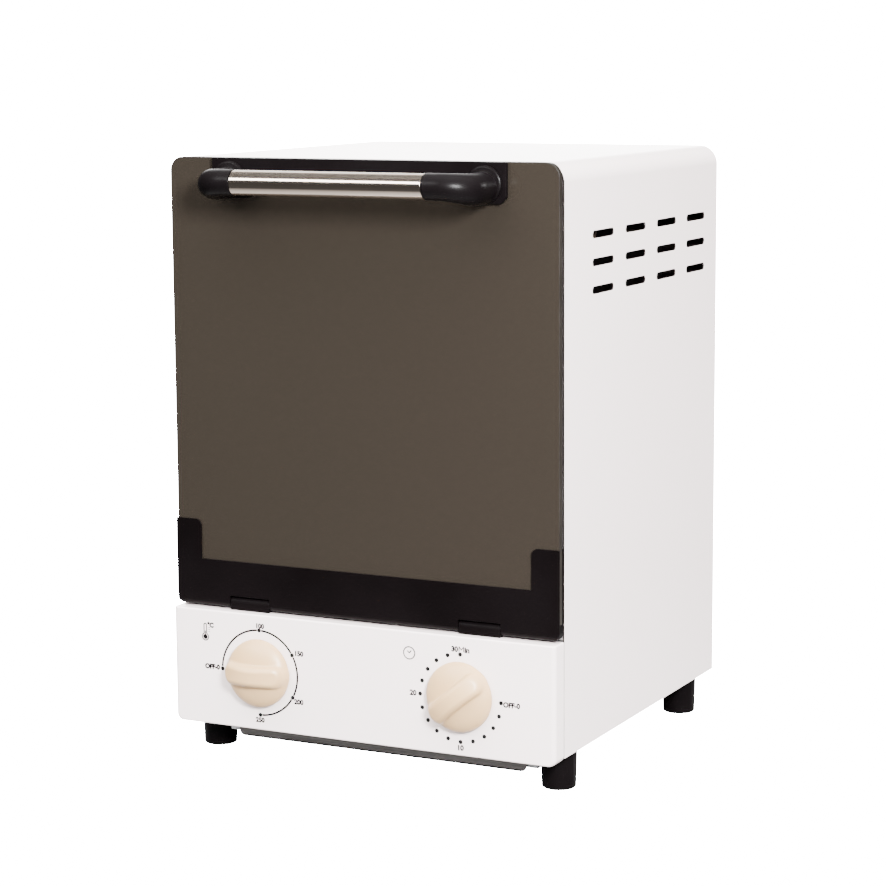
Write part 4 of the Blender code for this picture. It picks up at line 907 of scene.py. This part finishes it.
def handle_end(sign, seat, boss):
    """Elbow from the spigot in the tube round the bend to a collar on the plate.

    From the start of the bend it swells and sags by a smooth step of the way
    along, up to the collar, which is level with the tube.
    """
    bend_x = boss_x - HANDLE_BEND
    neck = bar_radius + NECK_OVER_BAR
    spigot = bar_radius - BAR_WALL - BAR_CLEARANCE
    straight = [(bar_half - SPIGOT, spigot), (bar_half - 2 * SHOULDER, spigot),
                (bar_half - SHOULDER, neck - SHOULDER_ROUND), (bar_half + SHOULDER_ROUND, neck)]
    straight += [(x, neck) for x in np.linspace(bar_half, bend_x, 6)[1:-1]]
    points = [(x, bar_y, bar_z, radius) for x, radius in straight]
    collar = seat - COLLAR_LENGTH
    course = [(bend_x + HANDLE_BEND * math.sin(a), bar_y + HANDLE_BEND * (1 - math.cos(a)))
              for a in np.linspace(0, np.pi / 2, 30)]
    course += [(boss_x, y) for y in np.linspace(course[-1][1], collar, 12)[1:]]
    course = np.array(course)
    way = np.concatenate([[0], np.cumsum(np.linalg.norm(np.diff(course, axis=0), axis=1))])
    way /= way[-1]
    points += [(x, y, bar_z - HANDLE_SAG * grown, neck + (boss - COLLAR_STEP - neck) * grown)
               for (x, y), grown in zip(course, ease(way / SWELL_END))]
    points += [(boss_x, collar + rise, bar_z - HANDLE_SAG * share, boss - step)
               for rise, share, step in COLLAR_STEPS]
    points += [(boss_x, seat - BOSS_ROUND, bar_z, boss),
               (boss_x, seat, bar_z, boss - BOSS_ROUND)]
    table = np.array(points)
    return carried(table[:, :3] * (sign, 1, 1), table[:, 3], END_SIDES)


bar_low, bar_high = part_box("handle_bar")
bar_y = centre("handle_bar")[1]
bar_radius = (bar_high.z - bar_low.z) / 2
bar_half = bar_high.x + BAR_CLEARANCE
end_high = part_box("handle_end_left")[1]
boss_radius = end_high.z - bar_z - BOSS_TRIM
dress(copy_of("handle_plate", "handle_backplate", plastic), "door",
      ["handle_plate"], PLATE_EDGE, 3)
moulded = surface("moulded_black", film, (PLASTIC_BLACK, PLASTIC_GREY), (0.28, 0.36),
    (40.0, 2600.0), (0.16, 0.00008), Specular_IOR_Level=0.07)
for sign, side in ((-1, "left"), (1, "right")):
    end = solid("handle_elbow_" + side, [handle_end(sign, end_high.y, boss_radius)], moulded)
    dress(end, "door", ["handle_end_" + side], angle=MOULDED_ANGLE)
tube_steel = surface("polished_tube", grain, ((0.82, 0.71, 0.61), (0.72, 0.61, 0.51)),
    (0.10, 0.15), ((14.0, 1400.0, 1400.0),), (0.03, 0.00003), Metallic=1.0)
profile = quarter((bar_radius - BAR_EDGE, bar_high.x - BAR_EDGE), BAR_EDGE, 90, 0, 4)
profile += quarter((bar_radius - BAR_EDGE, BAR_EDGE - bar_high.x), BAR_EDGE, 0, -90, 4)
profile += [(bar_radius - BAR_WALL, -bar_high.x), (bar_radius - BAR_WALL, bar_high.x)]
tube = turned(profile, (0, bar_y, bar_z), "x", TUBE_STEPS, hollow=True)
dress(solid("handle_tube", [tube], tube_steel), "door", ["handle_bar"])
face_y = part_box("door_glass")[1].y + SCREW_SEAT
for side, x in (("left", -boss_x), ("right", boss_x)):
    node = "handle_screw_" + side
    low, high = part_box(node)
    shank = rod(low.y, face_y + SHANK_OVERLAP, SHANK_RADIUS, (x, 0, bar_z), "y", SCREW_STEPS)
    head = screw_head((x, face_y, bar_z), (0, 1, 0), HANDLE_SCREW_RADIUS, high.y - face_y)
    dress(solid(node + "_pan", [head, shank], zinc_screw), "door", [node])


# The two knobs: cream moulded plastic, a low dome with a grip bar across it. The
# bar's top is an arch that runs down to a blunt pointer on one side and into the
# dome's edge on the other. Each knob turns on a steel shaft.
KNOB_RADIUS = 19.4
KNOB_SKIRT = 1.0
KNOB_DOME = 8.0
DOME_WEIGHT = 12.0
GRIP_CREST = 13.5
GRIP_POINTER = 19.7
GRIP_POINTER_FALL = 6.8
GRIP_TAIL_FALL = 6.7
GRIP_HALF = 7.0
GRIP_TAIL_HALF = 6.9
GRIP_NOSE = 6.0
GRIP_ROUND = 2.8
GRIP_DRAFT = 0.12
KNOB_FILLET = 1.4
KNOB_CENTRE = 3.0
KNOB_RINGS = 190
KNOB_SIDES = 288
KNOB_BISECTIONS = 34
KNOB_ANGLE = 60
SHAFT_RADIUS = 0.0030
TIMER_REST = math.radians(-40)
CREAM_LIGHT = (0.530, 0.340, 0.165)
CREAM_WARM = (0.500, 0.315, 0.145)
MM = 0.001


def knob_field(u, v, w):
    """Below zero inside the knob, in millimetres: dome and grip, softly joined.

    The dome is a disc with an elliptic cap. The grip has leaning sides and
    elliptic ends, barely narrows from the pointer, at -u, to the tail, and its top falls
    with the square of the distance from the axis.
    """
    cap = np.maximum(w - KNOB_SKIRT, 0) / KNOB_DOME
    dome = (np.sqrt((np.hypot(u, v) / KNOB_RADIUS) ** 2 + cap ** 2) - 1) * DOME_WEIGHT
    share = np.clip((u + GRIP_POINTER) / (GRIP_POINTER + KNOB_RADIUS), 0, 1)
    half = GRIP_HALF + (GRIP_TAIL_HALF - GRIP_HALF) * share
    beyond = np.maximum(np.maximum(-u - GRIP_POINTER, u - KNOB_RADIUS) + GRIP_NOSE, 0)
    plan = np.hypot(beyond * half / GRIP_NOSE, v) - half + GRIP_DRAFT * w
    fall = np.where(u < 0, GRIP_POINTER_FALL * (u / GRIP_POINTER) ** 2,
                    GRIP_TAIL_FALL * (u / KNOB_RADIUS) ** 2)
    top = w - GRIP_CREST + fall
    edge = np.minimum(np.maximum(plan, top) + GRIP_ROUND, 0)
    grip = edge + np.hypot(np.maximum(plan + GRIP_ROUND, 0), np.maximum(top + GRIP_ROUND, 0)) \
        - GRIP_ROUND
    near = np.clip(0.5 + 0.5 * (grip - dome) / KNOB_FILLET, 0, 1)
    joined = grip + (dome - grip) * near - KNOB_FILLET * near * (1 - near)
    return np.maximum(joined, -w)


def knob_shape(place, angle):
    """Surface found along rays from a point inside: each ray's length by halving."""
    rim = math.atan2(KNOB_RADIUS, -KNOB_CENTRE)
    tilt = np.concatenate([np.linspace(0, rim, KNOB_RINGS), np.linspace(rim, np.pi, 6)[1:]])
    a, b = np.sin(tilt)[:, None] * circle(1, KNOB_SIDES).T[:, None]
    ray = np.stack([a, b, np.repeat(np.cos(tilt)[:, None], KNOB_SIDES, axis=1)], axis=-1)
    near = np.zeros(ray.shape[:2])
    far = np.full(ray.shape[:2], 2 * KNOB_RADIUS)
    for _ in range(KNOB_BISECTIONS):
        middle = (near + far) / 2
        u, v, w = (ray * middle[..., None]).transpose(2, 0, 1)
        inside = knob_field(u, v, w + KNOB_CENTRE) < 0
        near = np.where(inside, middle, near)
        far = np.where(inside, far, middle)
    u, v, w = (ray * near[..., None]).transpose(2, 0, 1)
    w = w + KNOB_CENTRE
    x = u * math.cos(angle) + v * math.sin(angle)
    z = v * math.cos(angle) - u * math.sin(angle)
    points = np.stack([x, -w, z], axis=-1) * MM + np.asarray(place)
    return loft(points)


cream = surface("cream_plastic", film, (CREAM_LIGHT, CREAM_WARM), (0.38, 0.46), (30.0, 2200.0),
    (0.10, 0.00006), Specular_IOR_Level=0.8, Subsurface_Weight=0.08, Subsurface_Scale=0.003,
    Subsurface_Radius=(1.0, 0.6, 0.35))
for dial, x, angle in (("temperature", -dial_x, 0.0), ("timer", dial_x, TIMER_REST)):
    node = dial + "_knob"
    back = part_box(node)[1].y
    knob = solid(node + "_moulded", [knob_shape((x, back, dial_z), angle)], cream)
    dress(knob, dial + "_dial", [node], angle=KNOB_ANGLE)
    node = dial + "_shaft"
    low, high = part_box(node)
    shaft = rod(low.y, high.y, SHAFT_RADIUS, (x, 0, dial_z), "y", SCREW_STEPS)
    dress(solid(node + "_turned", [shaft], pin_steel), dial + "_dial", [node],
          PIN_EDGE)


# The sheets behind and below: the white rear panel with its screws, and the frame,
# liner, shield and base of galvanised steel with pale and dark zinc crystals. The
# faces that look into the housing are painted near black as painted shade for its
# unlit inside.
SHEET_EDGE = 0.0002
REAR_SCREW_INSET = 0.008
REAR_SCREW_HEIGHT = 0.0020
HIDDEN_DEPTH = 0.0005
ZINC_LIGHT = (0.60, 0.61, 0.62)
ZINC_DARK = (0.44, 0.45, 0.46)


def zinc_crystals():
    """Spangle of galvanised steel: flat cells of unlike grey, with a soft ripple."""
    group, given, result = new_skin("zinc_crystals", ("Cell Scale", "Float", 140.0))
    place = add(group, "TexCoord").outputs["Object"]
    cells = add(group, "TexVoronoi", {"Vector": place, "Scale": given["Cell Scale"]})
    ripple = add(group, "TexNoise", {"Vector": place, "Scale": 60.0, "Detail": 2.0})
    parts = add(group, "SeparateXYZ", {"Vector": cells.outputs["Color"]})
    blend_skin(group, given, result, parts.outputs["X"], ripple.outputs["Fac"])
    return group


crystals = zinc_crystals()
zinc = surface("zinc_sheet", crystals, (ZINC_LIGHT, ZINC_DARK), (0.34, 0.5), (150.0,),
    (0.06, 0.0002), Metallic=1.0)
rear_low, rear_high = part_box("rear_panel")
rear = copy_of("rear_panel", "rear_sheet", enamel)
# The rear sheet's inside faces get the painted shade.
part_finish(rear, painted_shade, lambda place, _: place.y < rear_high.y - HIDDEN_DEPTH)
dress(rear, "cabinet", ["rear_panel"], SHEET_EDGE)
liner = copy_of("chamber_liner", "chamber_liner_sheet", zinc)
liner_low, liner_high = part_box("chamber_liner")
# The liner's faces toward the case get the painted shade.
part_finish(liner, painted_shade, lambda place, _: abs(place.x) > liner_high.x - HIDDEN_DEPTH
            or place.z > liner_high.z - HIDDEN_DEPTH or place.z < liner_low.z + HIDDEN_DEPTH
            or place.y > liner_high.y - HIDDEN_DEPTH)
dress(liner, "cabinet", ["chamber_liner"], SHEET_EDGE)
opening = copy_of("front_frame", "front_frame_sheet", zinc)
opening_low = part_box("front_frame")[0]
# The frame's faces behind its front get the painted shade.
part_finish(opening, painted_shade, lambda place, _: place.y > opening_low.y + HIDDEN_DEPTH)
dress(opening, "cabinet", ["front_frame"], SHEET_EDGE)
for node in ("base_plate", "floor_shield", "tray_guide_left", "tray_guide_right"):
    dress(copy_of(node, node + "_sheet", zinc), "cabinet", [node], SHEET_EDGE)
heads = [screw_head((x, rear_high.y, z), (0, 1, 0), SCREW_RADIUS, REAR_SCREW_HEIGHT)
         for x in (REAR_SCREW_INSET - rear_high.x, rear_high.x - REAR_SCREW_INSET)
         for z in (rear_low.z + REAR_SCREW_INSET, (rear_low.z + rear_high.z) / 2,
                   rear_high.z - 2 * REAR_SCREW_INSET)]
dress(solid("rear_screws", heads, zinc_screw), "cabinet")


# The cord gland: a black moulded bush in the rear panel, with a flange outside
# and three grip rings on its neck.
GLAND_STEPS = 48
GLAND_BORE = 0.0032
GLAND_NECK = 0.0060
GLAND_CONE = 0.0008
GLAND_LIP = 0.0004
GLAND_GRIP = 0.0045
GLAND_RING = 0.0003
GLAND_RINGS = 3
GLAND_RING_STEPS = 24
FLANGE_SEAT = 0.0003
FLANGE_HEIGHT = 0.0030
FLANGE_ROUND = 0.0004
gland_low, gland_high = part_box("cord_gland")
flange = (gland_high.x - gland_low.x) / 2
seat_y = rear_high.y + FLANGE_SEAT
brim_y = rear_high.y + FLANGE_HEIGHT
profile = [(GLAND_NECK, gland_high.y)]
profile += [(GLAND_NECK + GLAND_CONE * share
             - GLAND_RING * math.cos(2 * math.pi * GLAND_RINGS * share),
             gland_high.y - GLAND_LIP - GLAND_GRIP * share)
            for share in np.linspace(0, 1, GLAND_RING_STEPS)]
profile += [(flange - FLANGE_ROUND, brim_y), (flange, brim_y - FLANGE_ROUND), (flange, seat_y),
            (GLAND_NECK, seat_y), (GLAND_NECK, gland_low.y), (GLAND_BORE, gland_low.y),
            (GLAND_BORE, gland_high.y)]
gland_x, _, gland_z = centre("cord_gland")
gland = turned(profile, (gland_x, 0, gland_z), "y", GLAND_STEPS, hollow=True)
dress(solid("gland_bush", [gland], plastic), "cabinet", ["cord_gland"])


# Inside the chamber: four sheathed heater tubes, dark from the heat, a chrome
# wire rack with round corners, and a deep drawn steel tray that lies on it.
HEATER_STEPS = 40
HEATER_EDGE = 0.0003
HEATER_LIGHT = (0.30, 0.26, 0.23)
HEATER_DARK = (0.20, 0.17, 0.15)
FRAME_WIRE = 0.0016
BAR_WIRE = 0.0011
WIRE_PITCH = 0.0135
WIRE_SIDES = 20
RACK_CORNER = 0.010
RACK_CORNER_STEPS = 12
BRACE_INSET = 0.045
BRACE_DROP = 0.00165
TRAY_WALL = 0.0008
TRAY_RIM = 0.005
TRAY_TAPER = 0.005
TRAY_CORNER = 0.012
TRAY_CORNER_STEPS = 14
TRAY_FOOT_ROUND = 0.004
TRAY_FOOT_STEPS = 8
RIM_PROFILE = (
    # inset, drop below the rim
    (0.0062, 0.0020), (0.0054, 0.0006), (0.0042, 0.0), (0.0006, 0.0), (0.0, 0.0006))
heated = surface("heat_tinted_tube", grain, (HEATER_LIGHT, HEATER_DARK), (0.3, 0.45),
    ((200.0, 600.0, 600.0),), (0.06, 0.00005), Metallic=1.0)
chrome = surface("chrome_wire", film, ((0.78, 0.78, 0.79), (0.70, 0.70, 0.71)), (0.07, 0.14),
    (80.0, 1500.0), (0.03, 0.00003), Metallic=1.0)
tray_steel = surface("tray_steel", grain, (STEEL_LIGHT, STEEL_DARK), (0.22, 0.34),
    ((1100.0, 18.0, 300.0),), (0.05, 0.00004), Metallic=1.0)
for row in ("lower", "upper"):
    for end in ("front", "rear"):
        level_rod(f"heater_{row}_{end}", "_sheath", heated, HEATER_STEPS, HEATER_EDGE)
rack_low, rack_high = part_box("wire_rack")
half = rack_high.x - FRAME_WIRE
front = rack_low.y + FRAME_WIRE
back = rack_high.y - FRAME_WIRE
axis_z = rack_high.z - FRAME_WIRE
outline = soft_rectangle(-half, half, front, back, RACK_CORNER, RACK_CORNER_STEPS)
path = np.insert(outline, 2, axis_z, axis=1)
wires = [carried(path, np.full(len(path), FRAME_WIRE), WIRE_SIDES, closed=True)]
wire_z = axis_z + FRAME_WIRE - BAR_WIRE
count = 2 * int((half - RACK_CORNER) / WIRE_PITCH) + 1
for index in range(count):
    x = (index - (count - 1) / 2) * WIRE_PITCH
    wires.append(rod(front, back, BAR_WIRE, (x, 0, wire_z), "y", WIRE_SIDES))
brace = (count - 1) / 2 * WIRE_PITCH + 2 * BAR_WIRE
for y in (front + BRACE_INSET, back - BRACE_INSET):
    wires.append(rod(-brace, brace, BAR_WIRE, (0, y, wire_z - BRACE_DROP), "x", WIRE_SIDES))
dress(solid("rack_wires", wires, chrome), "rack", ["wire_rack"])
tray_low, tray_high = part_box("instrument_tray")
levels = [(TRAY_RIM + TRAY_TAPER + TRAY_FOOT_ROUND * (1 - math.sin(a)),
           tray_low.z + TRAY_FOOT_ROUND * (1 - math.cos(a)))
          for a in np.linspace(0, np.pi / 2, TRAY_FOOT_STEPS)]
levels += [(inset, tray_high.z - drop) for inset, drop in RIM_PROFILE]
rings = [np.insert(soft_rectangle(tray_low.x + inset, tray_high.x - inset, tray_low.y + inset,
                                  tray_high.y - inset, TRAY_CORNER, TRAY_CORNER_STEPS),
                   2, z, axis=1) for inset, z in levels]
tray = solid("drawn_tray", [loft(rings, caps=(True, False))], tray_steel)
dress(thicken(tray, TRAY_WALL), "rack", ["instrument_tray"],
      angle=MOULDED_ANGLE)


# The crumb tray: a shallow tray of dull grey sheet that slides under the base,
# with a deeper front lip to pull it by. A black strip at the foot of the lip is its
# hem, made black as the shadow line under it: painted shadow.
LIP_EDGE = 0.0003
HEM_HEIGHT = 0.0008
HEM_REACH = 0.0002
HEM_INSET = 0.0032
dull_sheet = surface("dull_grey_sheet", grain, ((0.175, 0.163, 0.16), (0.13, 0.122, 0.118)),
    (0.42, 0.55), ((25.0, 700.0, 700.0),), (0.08, 0.0001), Metallic=0.6)
dress(copy_of("crumb_tray", "crumb_pan", dull_sheet), "crumb_drawer",
      ["crumb_tray"], LIP_EDGE)
crumb_low, crumb_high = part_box("crumb_tray")
# The hem strip is black satin: painted shadow along the lip's lower edge.
hem_half = crumb_high.x - HEM_INSET
outline = soft_rectangle(crumb_low.y - HEM_REACH, crumb_low.y + HEM_REACH, crumb_low.z,
                         crumb_low.z + HEM_HEIGHT, HEM_REACH / 2, 4)
hem = solid("crumb_hem_painted_shadow", [prism(outline, 0, (-hem_half, hem_half))], satin)
dress(hem, "crumb_drawer")


# The controls and the heater ends inside the housing: pressed steel, phenolic
# and ceramic, which only show when the case is off.
ceramic = surface("brown_ceramic", film, ((0.050, 0.034, 0.025), (0.032, 0.022, 0.017)),
    (0.45, 0.6), (120.0, 1800.0), (0.15, 0.0001))
phenolic = surface("brown_phenolic", film, ((0.060, 0.042, 0.032), (0.040, 0.028, 0.022)),
    (0.35, 0.5), (150.0, 1500.0), (0.12, 0.0001))
SLOT_FINISHES = {
    "white_paint": enamel, "black_plastic": plastic, "black_paint": satin,
    "cream_plastic": cream, "dark_glass": tint, "brushed_steel": pin_steel,
    "zinc_sheet": zinc, "grey_sheet": dull_sheet, "chrome_wire": chrome,
    "ceramic": ceramic, "phenolic": phenolic}
for part in frame["record"]["subparts"]:
    mesh = frame["nodes"][part["node"]].data
    mesh.materials.clear()
    mesh.materials.append(SLOT_FINISHES[part["material_slot"]])
